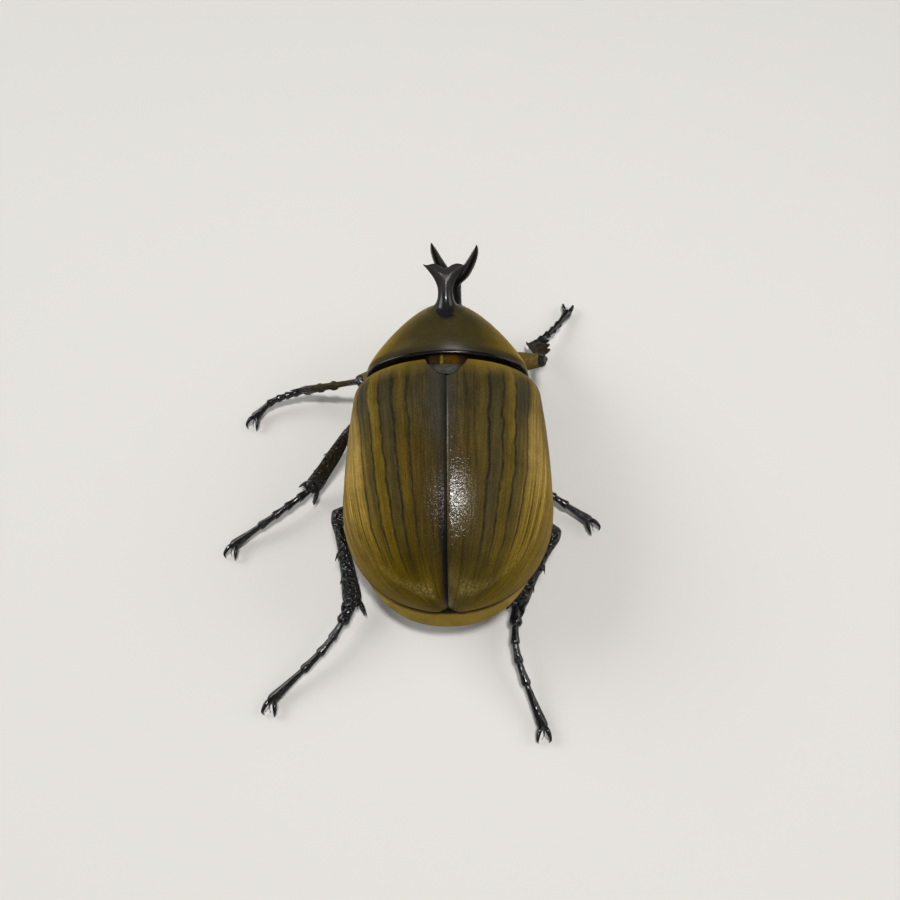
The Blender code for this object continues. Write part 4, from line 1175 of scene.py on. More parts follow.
def velvet_finish(name):
    """Wing cases: velvety olive ochre, dark bands, and fine black furrows that draw together to the rear."""
    f = Finish(
        name, Specular_IOR_Level=0.04, Coat_Roughness=0.16,
        Sheen_Weight=0.1, Sheen_Roughness=0.3, Sheen_Tint=(1.0, 0.62, 0.1),
    )
    share, along = f.lay()
    hand = f.math("GREATER_THAN", f.axis("X"), MIDDLE.x * MM)

    def fibre(fine, long, detail=3.0):
        """Streaks that run with the bands."""
        where = f.node("CombineXYZ", X=f.times(share, fine), Y=f.times(along, long), Z=f.times(hand, 9.3))
        return f.grain(1.0, detail, 0.55, where)

    sway, ripple = f.swing(fibre(2.5, 9.0, 2.0), 0.045), f.swing(fibre(12.0, 34.0, 2.0), 0.014)
    across = f.plus(share, f.plus(sway, ripple))

    # Bands of the front, middle and rear, then the darker outer rear and the dark stripe at the tip
    middle = f.ramp(across, WING_MIDDLE_TONES)
    fore = f.ramp(across, WING_FRONT_TONES)
    rear = f.ramp(across, WING_REAR_TONES)
    tone = f.mix(f.fall(along, 0.24, 0.42), middle, fore)
    tone = f.mix(f.rise(along, 0.62, 0.88), tone, rear)
    outer = f.times(f.rise(across, 0.56, 0.68), f.rise(along, 0.44, 0.57))
    tone = f.mix(f.times(outer, 0.5), tone, (0.125, 0.084, 0.010))
    tip = f.times(
        f.ramp(across, [(0.03, 0.0), (0.08, 1.0), (0.3, 1.0), (0.42, 0.0)]), f.rise(along, 0.84, 0.92)
    )
    tone = f.mix(f.times(tip, 0.75), tone, (0.078, 0.052, 0.002))

    # Broad and narrow streaks all over, and strong ones on the outer half
    tone = f.shaded(tone, fibre(42.0, 2.6), [(0.30, 0.66), (0.5, 1.0), (0.72, 1.36)])
    tone = f.shaded(tone, fibre(130.0, 9.0), [(0.30, 0.72), (0.70, 1.28)])
    combed = f.times(
        f.rise(across, 0.5, 0.6), f.ramp(along, [(0.1, 0.3), (0.3, 1.0), (0.7, 1.0), (0.85, 0.2)])
    )
    tone = f.mix(combed, tone, f.ramp(fibre(64.0, 2.2), [(0.36, 0.55), (0.5, 1.0), (0.66, 1.6)]), "MULTIPLY")

    # Black furrows, fainter next to the seam of the right wing case, which is slatier there
    stops = []
    for centre, half, depth in FURROWS:
        stops += [(centre - half, 0.0), (centre, depth), (centre + half, 0.0)]
    furrow = f.math("POWER", f.ramp(across, stops), 0.62)
    reach = f.ramp(along, [(0.012, 0.15), (0.05, 0.85), (0.3, 1.0), (0.76, 0.95), (0.92, 0.0)])
    broken = f.ramp(fibre(30.0, 26.0), [(0.3, 0.45), (0.55, 1.0)])
    furrow = f.times(f.times(furrow, reach), broken)
    faint = f.times(hand, f.ramp(across, [(0.18, 0.6), (0.2, 0.0)]))
    furrow = f.times(furrow, f.rest(faint))
    slaty = f.times(hand, f.ramp(across, [(0.12, 0.0), (0.2, 0.3), (0.45, 0.3), (0.55, 0.0)]))
    tone = f.mix(slaty, tone, (0.050, 0.042, 0.018))
    tone = f.mix(furrow, tone, (0.0075, 0.0075, 0.0065))

    # Front margin, grey band beside the seam, and the black line of the seam
    margin = f.ramp(across, WING_MARGIN_TONES)
    tone = f.mix(f.ramp(along, [(0.012, 0.9), (0.045, 0.5), (0.1, 0.0)]), tone, margin)
    band = f.times(f.fall(share, 0.03, 0.085), f.ramp(along, [(0.04, 0.95), (0.3, 0.7), (0.48, 0.0)]))
    tone = f.mix(band, tone, (0.037, 0.036, 0.028))
    narrow = f.times(
        f.ramp(share, [(0.0, 1.0), (0.010, 0.6), (0.022, 0.0)]), f.ramp(along, [(0.0, 0.5), (0.3, 0.9)])
    )
    broad = f.times(f.fall(share, 0.014, 0.046), f.rise(along, 0.5, 0.75))
    tone = f.mix(f.math("MAXIMUM", narrow, broad), tone, (0.004, 0.004, 0.0035))

    # Dark streaky patches on the shoulder and the flank, and between them a pale patch of painted sheen
    shoulder = f.patch(
        along, [(0.05, 0.0), (0.13, 1.0), (0.2, 0.8), (0.3, 0.0)],
        across, [(0.40, 0.0), (0.44, 1.0), (0.52, 1.0), (0.58, 0.0)],
    )
    streaks = f.ramp(fibre(26.0, 5.0), [(0.34, 0.25), (0.6, 1.0)])
    tone = f.mix(f.times(f.times(shoulder, streaks), 0.75), tone, (0.032, 0.031, 0.022))
    flank = f.patch(
        along, [(0.22, 0.0), (0.33, 1.0), (0.38, 1.0), (0.50, 0.0)],
        across, [(0.70, 0.0), (0.745, 1.0), (0.80, 1.0), (0.83, 0.55), (0.93, 0.4), (0.97, 0.0)],
    )
    tone = f.mix(f.times(f.times(flank, streaks), 0.75), tone, (0.062, 0.048, 0.016))
    # painted sheen: a pale patch that stands for the velvet's shine on the outer slope of each wing case
    painted_sheen = f.patch(
        along, [(0.2, 0.0), (0.36, 1.0), (0.52, 0.7), (0.62, 0.0)],
        across, [(0.5, 0.0), (0.56, 1.0), (0.68, 1.0), (0.72, 0.0)],
    )
    tone = f.mix(f.times(painted_sheen, 0.5), tone, (0.36, 0.25, 0.07))

    # Painted highlight: a pale mottled arc across the rear end, standing for glints on the swelling before
    # the tip
    brushed = fibre(70.0, 3.5)
    arc = f.plus(along, f.times(f.math("POWER", f.math("MAXIMUM", f.minus(across, 0.3), 0.0), 1.8), 0.87))
    arc = f.frayed(arc, f.grain(520.0, 2.0), 0.03)
    painted_glints = f.patch(
        arc, [(0.905, 0.0), (0.935, 1.0), (0.948, 1.0), (0.968, 0.0)],
        across, [(0.1, 0.0), (0.18, 1.0), (0.38, 0.9), (0.5, 0.4), (0.75, 0.3), (0.85, 0.0)],
    )
    mottled = f.patch(
        brushed, [(0.36, 0.35), (0.6, 1.0)], f.grain(2300.0, 4.0, 0.7), [(0.42, 0.15), (0.62, 1.0)]
    )
    # painted highlight mixed into the tone along the arc
    tone = f.mix(f.times(f.times(painted_glints, mottled), 0.6), tone, (0.34, 0.27, 0.10))

    # Black rear rim, partly its own black and partly painted shade of the gap to the tail plate, and painted
    # shade in the gap round the notch that holds the small plate; then the shades of the pile
    rim = f.rise(f.mark("rim"), 0.35, 0.7)
    tone = f.mix(f.math("MAXIMUM", rim, f.times(f.mark("notch"), 0.5)), tone, (0.004, 0.0035, 0.003))
    pile = f.grain(4300.0, 3.0, 0.75)
    tone = f.shaded(tone, pile, [(0.34, 0.66), (0.62, 1.16)])
    tone = f.shaded(tone, f.grain(210.0, 3.0), [(0.32, 0.84), (0.7, 1.16)])

    # Relief, and the gritty shine beside the seam where the velvet is worn off
    low = f.bump(f.rest(furrow), 0.6, 0.00008)
    ribs = f.bump(f.grain(700.0, 2.0), 0.25, 0.00025, low)
    fine = f.bump(pile, 0.6, 0.00009, ribs)
    grit = f.bump(f.grain(2500.0, 2.0, 0.6, warp=0.4), 0.55, 0.00011, low)
    worn_left = f.ramp(share, [(0.0, 0.09), (0.06, 0.12), (0.12, 0.06), (0.2, 0.0)])
    worn_right = f.ramp(share, [(0.0, 1.0), (0.06, 0.95), (0.1, 0.5), (0.15, 0.15), (0.22, 0.0)])
    worn = f.mix(hand, worn_left, worn_right)
    bare = f.times(worn, f.ramp(pile, [(0.38, 0.3), (0.6, 1.0)]))
    bare = f.times(bare, f.ramp(along, [(0.08, 0.1), (0.3, 1.0)]))
    bare = f.times(bare, f.rest(f.mark("notch")))
    rough = f.ramp(brushed, [(0.3, 0.40), (0.7, 0.58)])
    f.shade(Base_Color=tone, Roughness=rough, Normal=fine, Coat_Weight=bare, Coat_Normal=grit)
    return f.material


def shield_share(point):
    """How far a point lies from the shield's middle line: 0.5 is its edge and 1 the middle of its belly."""
    y = min(max(point.y, SHIELD_REAR_Y), SHIELD_FRONT_Y)
    share = shield_along(y)
    edge = blend(SHIELD_EDGE_REAR_Z, SHIELD_EDGE_FRONT_Z, share)
    if point.z < edge:
        return min(1.0, 0.5 + 0.5 * (edge - point.z) / (edge - SHIELD_BELLY_Z))
    bend = blend(SHIELD_ROOF_REAR, SHIELD_ROOF_FRONT, share)
    return 0.5 - math.acos(min(1.0, abs(point.x) / shield_half_width(y)) ** (1.0 / bend)) / math.pi


def roof_gap(point):
    """Distance of a point from the shield's back, measured square to it."""
    x, y = point.x, min(point.y, SHIELD_FRONT_Y - 0.2)
    fall_x = (shield_roof_z(x + 0.1, y) - shield_roof_z(x - 0.1, y)) / 0.2
    fall_y = (shield_roof_z(x, y + 0.1) - shield_roof_z(x, y - 0.1)) / 0.2
    rise = (point.z - shield_roof_z(x, y)) / math.sqrt(1.0 + fall_x**2 + fall_y**2)
    return math.hypot(max(0.0, rise), max(0.0, point.y - SHIELD_FRONT_Y))


def bare_place(point):
    """How far a point lies inside the bare black place behind the foot of the shield's horn."""
    aside = abs(point.x + 0.1) / (1.45 + 0.35 * clamp(30.0 - point.y))
    back = max(0.0, 28.9 - point.y) / 2.6
    ahead = clamp((31.6 - point.y) / 0.8)
    return ahead * clamp((1.12 - (aside**3 + back**3) ** (1.0 / 3.0)) / 0.5)


def shield_marks(obj):
    """Marks of place that the shield's velvet reads."""
    marked(obj, "side", shield_share)
    marked(obj, "length", lambda point: shield_along(point.y))
    marked(obj, "black", bare_place)
    return marked(obj, "foot", lambda point: 1.0 - clamp((roof_gap(point) - 0.1) / 0.8))


# Tones of the shield from its middle line over its edge to its belly; the ochre at the edge is partly the
# shield's own and partly painted sheen where its outline turns away
SHIELD_TONES = (
    (0.0, (0.034, 0.026, 0.008)), (0.14, (0.037, 0.028, 0.006)), (0.22, (0.068, 0.047, 0.004)),
    (0.30, (0.150, 0.100, 0.007)), (0.36, (0.27, 0.175, 0.013)), (0.42, (0.38, 0.245, 0.020)),
    (0.50, (0.48, 0.320, 0.035)), (0.54, (0.42, 0.27, 0.03)), (0.6, (0.05, 0.032, 0.01)),
    (1.0, (0.03, 0.018, 0.008)),
)


def shield_tone(f):
    """Dark olive brown velvet that turns ochre at the sides and towards the head, the ochre partly its own
    and partly painted sheen along the outline.
    """
    cloud = f.grain(170.0, 3.0)
    side, along = f.frayed(f.mark("side"), cloud, 0.07), f.mark("length")
    back = f.ramp(side, SHIELD_TONES)
    # ochre towards the head, partly painted sheen where the front slope turns away
    front = f.patch(
        along, [(0.5, 0.0), (0.8, 1.0)],
        side, [(0.10, 0.0), (0.26, 1.0), (0.5, 1.0), (0.6, 0.0)],
    )
    tone = f.mix(f.times(front, 0.7), back, (0.24, 0.150, 0.012))
    tone = f.mix(f.ramp(along, [(0.05, 0.85), (0.10, 0.0)]), tone, (0.018, 0.014, 0.006))
    tone = f.shaded(tone, cloud, [(0.3, 0.78), (0.7, 1.2)])
    return f.mix(shield_black(f), tone, (0.005, 0.005, 0.005))


def shield_black(f):
    """Bare black place on the shield behind the foot of its horn."""
    return f.rise(f.frayed(f.mark("black"), f.grain(900.0, 4.0), 1.7), 0.3, 0.85)


def shield_finish():
    """Shield: fine velvet with scattered dots, a little glossier along its middle."""
    f = Finish(
        "shield_velvet", Specular_IOR_Level=0.05, Coat_Roughness=0.28,
        Sheen_Weight=0.22, Sheen_Roughness=0.3, Sheen_Tint=(1.0, 0.6, 0.12),
    )
    dots = f.fall(f.cells(1900.0), 0.0, 0.16)
    pile = f.grain(4300.0, 3.0, 0.75)
    tone = f.mix(f.times(dots, 0.45), shield_tone(f), (0.008, 0.006, 0.003))
    tone = f.shaded(tone, pile, [(0.34, 0.68), (0.62, 1.16)])
    pits = f.bump(f.rest(dots), 0.45, 0.00008)
    middle_gloss = f.ramp(f.mark("side"), [(0.0, 0.12), (0.2, 0.06), (0.35, 0.0)])
    gloss = f.math("MAXIMUM", middle_gloss, f.times(shield_black(f), 0.9))
    fine = f.bump(pile, 0.7, 0.0001, pits)
    rough = f.ramp(pile, [(0.35, 0.40), (0.65, 0.56)])
    f.shade(Base_Color=tone, Roughness=rough, Normal=fine, Coat_Weight=gloss, Coat_Normal=pits)
    return f.material


def polished_finish(name, tone, roughness, pit_scale, pit_depth):
    """Glossy shell with fine pits."""
    f = Finish(name, Roughness=roughness, Specular_IOR_Level=0.55, Coat_Weight=0.25, Coat_Roughness=0.12)
    cloud = f.grain(300.0, 3.0)
    shade = f.mix(f.rise(cloud, 0.3, 0.75), tone, tuple(channel * 1.7 for channel in tone))
    pits = f.rise(f.cells(pit_scale), 0.0, 0.28)
    ripple = f.bump(f.grain(1500.0, 3.0), 0.25, 0.00008)
    rough = f.ramp(cloud, [(0.3, roughness * 0.75), (0.7, roughness * 1.35)])
    f.shade(Base_Color=shade, Normal=f.bump(pits, 0.7, pit_depth, ripple), Roughness=rough)
    return f.material


def leg_finish(name, velvet, rugged, dark=(0.030, 0.024, 0.010), pale=(0.090, 0.070, 0.028), shine=0.95):
    """Leg: glossy black, rugged by pits, with an olive velvet middle where velvet is more than 0."""
    f = Finish(name, Specular_IOR_Level=0.06, Coat_Roughness=0.1)
    cloud = f.grain(600.0, 3.0)
    along = f.frayed(f.mark("along"), cloud, 0.16)
    olive = f.mix(f.rise(f.grain(1800.0, 3.0), 0.35, 0.65), dark, pale)
    cover = f.times(f.ramp(along, [(0.08, 0.0), (0.16, 1.0), (0.76, 1.0), (0.9, 0.0)]), velvet)
    gloss = f.times(f.rest(cover), f.ramp(cloud, [(0.3, shine), (0.7, 0.75 * shine)]))
    lump_scale, lump_depth = (1700.0, 0.00037) if rugged < 0.3 else (1800.0, 0.00068)
    lumps = f.bump(f.cells(lump_scale, "SMOOTH_F1"), min(1.0, 1.3 * rugged), lump_depth)
    pits = f.bump(f.rise(f.cells(3600.0), 0.0, 0.3), 0.6 * rugged, 0.0001, lumps)
    ripple = f.bump(f.grain(900.0, 2.0), 0.3, 0.0001, pits)
    tone = f.mix(cover, (0.003, 0.0028, 0.0025), olive)
    rough = f.mix(cloud, (0.5, 0.5, 0.5), (0.6, 0.6, 0.6))
    f.shade(Base_Color=tone, Roughness=rough, Normal=ripple, Coat_Weight=gloss, Coat_Normal=ripple)
    return f.material


def horn_finish():
    """Polished black horn that is duller at its spoon, and whose foot takes on the shield's velvet."""
    f = Finish("horn_black", Specular_IOR_Level=0.06, Coat_Roughness=0.17)
    cloud = f.grain(500.0, 3.0)
    foot = f.rise(f.frayed(f.mark("foot"), cloud, 0.3), 0.35, 0.9)
    velvet = f.times(foot, f.rest(shield_black(f)))
    black = f.mix(cloud, (0.0030, 0.0030, 0.0034), (0.0065, 0.0065, 0.0075))
    dull = f.mark("spoon")
    tone = f.mix(velvet, f.mix(dull, black, (0.022, 0.021, 0.019)), shield_tone(f))
    bare = f.times(f.rest(velvet), f.minus(0.62, f.times(dull, 0.6)))
    ripple = f.bump(f.grain(1400.0, 4.0), 0.25, 0.00006)
    rough = f.mix(cloud, (0.45, 0.45, 0.45), (0.55, 0.55, 0.55))
    f.shade(Base_Color=tone, Roughness=rough, Normal=ripple, Coat_Weight=bare, Coat_Normal=ripple)
    return f.material


# Tan of the tail plate and of the belly's flanks
TAN_DEEP = (0.165, 0.110, 0.014)
TAN_PALE = (0.225, 0.150, 0.024)


def tail_finish():
    """Tail plate: pale tan velvet."""
    f = Finish(
        "tail_velvet", Roughness=0.6, Specular_IOR_Level=0.12,
        Sheen_Weight=0.2, Sheen_Roughness=0.4, Sheen_Tint=(0.95, 0.8, 0.5),
    )
    pile = f.grain(4800.0, 3.0, 0.7)
    cloud = f.grain(320.0, 3.0)
    tone = f.mix(f.rise(cloud, 0.3, 0.7), TAN_DEEP, TAN_PALE)
    tone = f.mix(f.ramp(pile, [(0.35, 0.35), (0.6, 0.0)]), tone, (0.05, 0.03, 0.008))
    f.shade(Base_Color=tone, Normal=f.bump(pile, 0.5, 0.00005))
    return f.material


def slate_finish():
    """Plate between the wing cases: smooth dark slate, with painted shade for small pits at its front
    corners.
    """
    f = Finish("plate_slate", Roughness=0.55, Specular_IOR_Level=0.25)
    across, along = f.lay()
    cloud = f.grain(700.0, 3.0)
    tone = f.mix(f.rise(cloud, 0.3, 0.7), (0.024, 0.0245, 0.019), (0.038, 0.0385, 0.030))
    # painted shade of the pits at the plate's front corners
    corner = f.patch(
        across, [(0.08, 1.0), (0.2, 0.0), (0.84, 0.0), (0.93, 0.8)],
        along, [(0.0, 0.8), (0.25, 1.0), (0.5, 0.0)],
    )
    tone = f.mix(corner, tone, (0.004, 0.004, 0.004))
    f.shade(Base_Color=tone, Normal=f.bump(f.cells(2600.0), 0.3, 0.00005))
    return f.material


def belly_finish():
    """Belly: dark brown shell, with tan velvet on its flanks towards the tail."""
    f = Finish("belly_brown", Roughness=0.4, Specular_IOR_Level=0.4)
    cloud = f.grain(320.0, 3.0)
    dust = f.rise(f.frayed(f.mark("dust"), cloud, 0.3), 0.4, 0.6)
    shell = f.mix(f.rise(cloud, 0.3, 0.7), (0.016, 0.009, 0.004), (0.034, 0.020, 0.009))
    tan = f.mix(f.rise(cloud, 0.3, 0.7), TAN_DEEP, TAN_PALE)
    pits = f.rise(f.cells(1900.0), 0.0, 0.28)
    rough = f.mix(dust, (0.3, 0.3, 0.3), (0.62, 0.62, 0.62))
    f.shade(Base_Color=f.mix(dust, shell, tan), Roughness=rough, Normal=f.bump(pits, 0.5, 0.0001))
    return f.material


def membrane_finish():
    """Neck membrane: dark brown with amber places."""
    f = Finish("membrane", Roughness=0.7, Specular_IOR_Level=0.05)
    cloud = f.rise(f.grain(420.0, 3.0), 0.42, 0.6)
    across, along = f.lay()
    amber = f.patch(
        across, [(0.05, 0.0), (0.14, 0.35), (0.34, 0.2), (0.46, 0.9), (0.72, 0.8), (0.86, 0.0)],
        cloud, [(0.0, 0.35), (1.0, 1.0)],
    )
    tone = f.mix(amber, (0.012, 0.0045, 0.0010), (0.066, 0.032, 0.0015))
    tuft = f.patch(
        across, [(0.345, 0.0), (0.375, 1.0), (0.405, 1.0), (0.44, 0.0)],
        f.grain(2600.0, 2.0), [(0.35, 0.4), (0.6, 1.0)],
    )
    f.shade(Base_Color=f.mix(tuft, tone, (0.15, 0.115, 0.010)))
    return f.material


def eye_finish():
    """Eye: glossy black brown with fine facets."""
    f = Finish(
        "eye_facets", Base_Color=(0.008, 0.005, 0.003), Roughness=0.12, Specular_IOR_Level=0.6,
        Coat_Weight=0.5, Coat_Roughness=0.05,
    )
    facets = f.fall(f.cells(9000.0), 0.0, 0.6)
    f.shade(Normal=f.bump(facets, 0.5, 0.00003))
    return f.material


def plain_finish(name, first, second, roughness, scale, gloss=0.45):
    f = Finish(name, Roughness=roughness, Specular_IOR_Level=gloss)
    f.shade(Base_Color=f.mix(f.rise(f.grain(scale, 3.0), 0.3, 0.7), first, second))
    return f.material


def lock(hairs, length, width, spread, seed):
    """Small bunch of tapered, bent hairs that grows along +Z from the origin."""
    draw = random.Random(seed)
    bm = bmesh.new()
    for _ in range(hairs):
        sheet = bmesh.ops.create_grid(bm, x_segments=3, y_segments=3, size=0.5)
        reach = length * draw.uniform(0.6, 1.0)
        lean = Vector((draw.uniform(-1, 1), draw.uniform(-1, 1), 0.0)) * spread
        start = Vector((draw.uniform(-1, 1), draw.uniform(-1, 1), 0.0)) * width * 4.0
        for vert in sheet["verts"]:
            turn, share = (vert.co.x + 0.5) * 2.0 * math.pi, vert.co.y + 0.5
            round_it = Vector((math.cos(turn), math.sin(turn), 0.0)) * width * (1.0 - share**2)
            vert.co = start + round_it + (lean * share**1.6 + UP * (share - 0.25 * share**2)) * reach
    bmesh.ops.remove_doubles(bm, verts=bm.verts, dist=0.0005)
    bmesh.ops.holes_fill(bm, edges=bm.edges, sides=0)
    mesh = bpy.data.meshes.new("lock")
    bmesh.ops.recalc_face_normals(bm, faces=bm.faces)
    bmesh.ops.triangulate(bm, faces=bm.faces)
    bm.to_mesh(mesh)
    bm.free()
    return mesh


def planted(name, locks, roots):
    """Hair piece: each root is a point, the way the hair lies, a size and its place on the skin's map."""
    points, corners, maps, draw, offset = [], [], [], random.Random(7), 0
    shapes = []
    for mesh in locks:
        verts = np.array([vert.co for vert in mesh.vertices])
        faces = np.array([face.vertices for face in mesh.polygons])
        reach = np.abs(verts).max()
        shapes.append((verts, faces, verts[:, :2] / reach * 0.0015))
    for point, lie, size, patch in roots:
        verts, faces, local = shapes[draw.randrange(len(shapes))]
        turn = np.array(
            lie.to_track_quat("Z", "Y").to_matrix() @ Matrix.Rotation(draw.uniform(0, 6.28), 3, "Z")
        )
        points.append(verts @ turn.T * size + np.array(point))
        corners.append(faces + offset)
        maps.append((local + np.array(patch))[faces].reshape(-1, 2))
        offset += len(verts)
    mesh = bpy.data.meshes.new(name)
    faces = np.concatenate(corners)
    mesh.from_pydata(np.concatenate(points).tolist(), [], faces.tolist())
    layer = mesh.uv_layers.new(name="OFBake")
    layer.data.foreach_set("uv", np.concatenate(maps).ravel())
    mesh.shade_smooth()
    for shape in locks:
        bpy.data.meshes.remove(shape)
    obj = bpy.data.objects.new(name, mesh)
    bpy.context.scene.collection.objects.link(obj)
    return obj


def scattered(obj, amount, keep, lie, size, seed, unwrap):
    """Roots spread at random over the part of a skin that keep allows."""
    draw = random.Random(seed)
    mesh = obj.data
    areas = np.array([face.area if keep(face.center, face.normal) else 0.0 for face in mesh.polygons])
    total = areas.sum()
    picks = np.searchsorted(np.cumsum(areas) / total, [draw.random() for _ in range(amount)])
    roots = []
    for pick in picks:
        face = mesh.polygons[int(min(pick, len(mesh.polygons) - 1))]
        corners = [mesh.vertices[index].co for index in face.vertices]
        weights = [draw.random() + 0.05 for _ in corners]
        point = sum((corner * weight for corner, weight in zip(corners, weights)), Vector()) / sum(weights)
        stray = Vector((draw.uniform(-1, 1), draw.uniform(-1, 1), draw.uniform(-1, 1))) * 0.18
        way = (lie(point, face.normal) + stray).normalized()
        roots.append((point - face.normal * 0.03, way, size(point) * draw.uniform(0.75, 1.15), unwrap(point)))
    return roots


def trunk_patch(point):
    """Place of a point on an unrolled trunk."""
    turn = math.atan2(point.z - 10.0, point.x) / (2.0 * math.pi) % 1.0
    return (0.02 + turn * 0.96, 0.02 + (point.y + 25.0) / 70.0 * 0.96)


def leg_patch(knee, ankle, index):
    """Place on an unrolled leg: one strip of the map for each leg."""
    axis = (ankle - knee).normalized()
    side = axis.cross(UP).normalized()
    lift = side.cross(axis)

    def unwrap(point):
        away = point - knee
        turn = math.atan2(away.dot(lift), away.dot(side)) / (2.0 * math.pi) % 1.0
        along = clamp(away.dot(axis) / (ankle - knee).length * 0.8 + 0.1)
        return (0.02 + (index + turn * 0.9) / 12.0 * 0.96, 0.02 + along * 0.96)

    return unwrap


# Camera: place from the beetle's middle, turn to the side, height above the floor and roll in degrees, lens
CAMERA_PLACE = (2.05, -43.5, 124.3)
CAMERA_TURN = (1.9, 66.0, -2.4)
CAMERA_SENSOR = 36.0
CAMERA_LENS = 27.04
CAMERA_CLIP = (0.005, 10.0)
FLOOR_HALF_SIZE = 3.0

# Lamps in metres: place, target, width, height, power and tint
LAMPS = (
    ("overhead", (0.058, -0.035, 0.60), (0.0, -0.005, 0.0), 0.055, 0.11, 2.6, (1.0, 0.985, 0.96)),
    ("window_left", (-0.75, 0.35, 0.55), (0.0, 0.0, 0.0), 0.7, 0.5, 5.8, (1.0, 0.995, 0.98)),
    ("window_right", (0.75, 0.2, 0.5), (0.0, 0.0, 0.0), 0.7, 0.5, 2.8, (1.0, 0.99, 0.97)),
    ("behind", (0.0, -0.9, 0.5), (0.0, 0.0, 0.0), 0.8, 0.4, 1.0, (1.0, 0.98, 0.95)),
)
SKY_TINT = (0.95, 0.97, 1.0, 1.0)
SKY_STRENGTH = 0.12


def photo_camera():
    """Camera at the photo's angle."""
    azimuth, elevation, roll = [math.radians(angle) for angle in CAMERA_TURN]
    level = math.cos(elevation)
    ahead = Vector((-math.sin(azimuth) * level, math.cos(azimuth) * level, -math.sin(elevation)))
    right = ahead.cross(UP).normalized()
    top = right.cross(ahead)
    side = right * math.cos(roll) + top * math.sin(roll)
    top = top * math.cos(roll) - right * math.sin(roll)
    turn = Matrix((side, top, -ahead)).transposed()
    lens = bpy.data.cameras.new("camera")
    lens.sensor_width = CAMERA_SENSOR
    lens.lens = CAMERA_LENS
    lens.clip_start, lens.clip_end = CAMERA_CLIP
    camera = bpy.data.objects.new("camera", lens)
    camera.matrix_world = Matrix.Translation((Vector(CAMERA_PLACE) + MIDDLE) * MM) @ turn.to_4x4()
    bpy.context.scene.collection.objects.link(camera)
    bpy.context.scene.camera = camera


def studio():
    """Pale floor, soft lamps and a faint sky."""
    bm = bmesh.new()
    bmesh.ops.create_grid(bm, x_segments=1, y_segments=1, size=FLOOR_HALF_SIZE)
    floor = mesh_object("floor", bm)
    pale = Finish("floor_pale", Base_Color=(0.60, 0.59, 0.57), Roughness=0.8, Specular_IOR_Level=0.2)
    floor.data.materials.append(pale.material)
    for name, spot, target, wide, high, power, tint in LAMPS:
        light = bpy.data.lights.new(name, "AREA")
        light.shape = "RECTANGLE"
        light.size, light.size_y = wide, high
        light.energy = power
        light.color = tint
        lamp = bpy.data.objects.new(name, light)
        lamp.location = spot
        lamp.rotation_euler = (Vector(target) - Vector(spot)).to_track_quat("-Z", "Y").to_euler()
        bpy.context.scene.collection.objects.link(lamp)
    world = bpy.data.worlds.new("studio")
    world.use_nodes = True
    world.node_tree.nodes["Background"].inputs["Color"].default_value = SKY_TINT
    world.node_tree.nodes["Background"].inputs["Strength"].default_value = SKY_STRENGTH
    bpy.context.scene.world = world
    bpy.context.scene.view_settings.view_transform = "Standard"


# Hairs of each coat
MOUTH_BRISTLES = 260
BREAST_HAIRS = 2400
BELLY_HAIRS = 1000
SHIN_HAIRS = 110
THIGH_HAIRS = 130
FRINGE_HAIRS = 230


def mouth_roots():
    """Roots of the bristles under the mouth, turned with the head."""
    draw = random.Random(9)
    spin = Matrix.Rotation(HEAD_TURN, 3, "Z")
    roots = []
    for _ in range(MOUTH_BRISTLES):
        turn = draw.uniform(-1.0, 1.0)
        y = 38.7 - 1.3 * abs(turn) ** 1.5 - draw.uniform(0.0, 0.8)
        root = Vector((turn * 2.7, y, draw.uniform(6.9, 7.5)))
        way = Vector((turn * 0.7 + draw.uniform(-0.2, 0.2), 0.9, draw.uniform(-0.9, -0.3)))
        root = HEAD_PIVOT + Vector((HEAD_SHIFT, 0.0, 0.0)) + spin @ (root - HEAD_PIVOT)
        size = draw.uniform(0.6, 1.0)
        patch = (0.5 + turn * 0.4, 0.2 + draw.uniform(0.0, 0.1))
        roots.append((root, (spin @ way).normalized(), size, patch))
    return roots


def fringe_roots():
    """Roots of the fringe that hangs from the shield's rear edge over the neck membrane."""
    draw = random.Random(31)
    roots = []
    for _ in range(FRINGE_HAIRS):
        x = draw.uniform(-3.4, 3.4)
        root = Vector((x, 20.1, shield_roof_z(x, SHIELD_REAR_Y) - draw.uniform(0.55, 1.0)))
        way = Vector((draw.uniform(-0.25, 0.25), -1.0, draw.uniform(-0.25, 0.1)))
        size = draw.uniform(0.5, 1.0) if abs(x) > 0.35 else 1.25
        roots.append((root, way.normalized(), size, (0.5 + x * 0.04, 0.5)))
    return roots


def trunk_roots(breast, belly):
    """Roots of the coats under the breast and the belly, which lie to the rear."""
    breast_roots = scattered(
        breast, BREAST_HAIRS,
        lambda centre, normal: normal.z < -0.1 and abs(centre.x) > 2.5,
        lambda point, normal: normal * 0.5 + Vector((0.0, -0.8, -0.25)),
        lambda point: 1.0 if abs(point.x) > 8.0 else 0.55, 11, trunk_patch,
    )
    belly_roots = scattered(
        belly, BELLY_HAIRS,
        lambda centre, normal: normal.z < -0.1,
        lambda point, normal: normal * 0.3 + Vector((0.0, -1.0, -0.1)),
        lambda point: 0.5, 12, trunk_patch,
    )
    return breast_roots, belly_roots


def leg_roots(lower, upper, start, knee, ankle, index):
    """Roots of the thin coats of a shin and a thigh, which lie along them."""
    shin_way, thigh_way = (ankle - knee).normalized(), (knee - start).normalized()
    roots = scattered(
        lower, SHIN_HAIRS,
        lambda centre, normal: normal.z < 0.3 and centre.z > 1.3,
        lambda point, normal: normal * 0.5 + shin_way * 0.8,
        lambda point: 0.4, 20 + index, leg_patch(knee, ankle, index * 2),
    )
    return roots + scattered(
        upper, THIGH_HAIRS,
        lambda centre, normal: abs(normal.z) < 0.6 and (centre - knee).length > 2.5,
        lambda point, normal: normal * 0.6 + thigh_way * 0.7,
        lambda point: 0.6, 40 + index, leg_patch(start, knee, index * 2 + 1),
    )


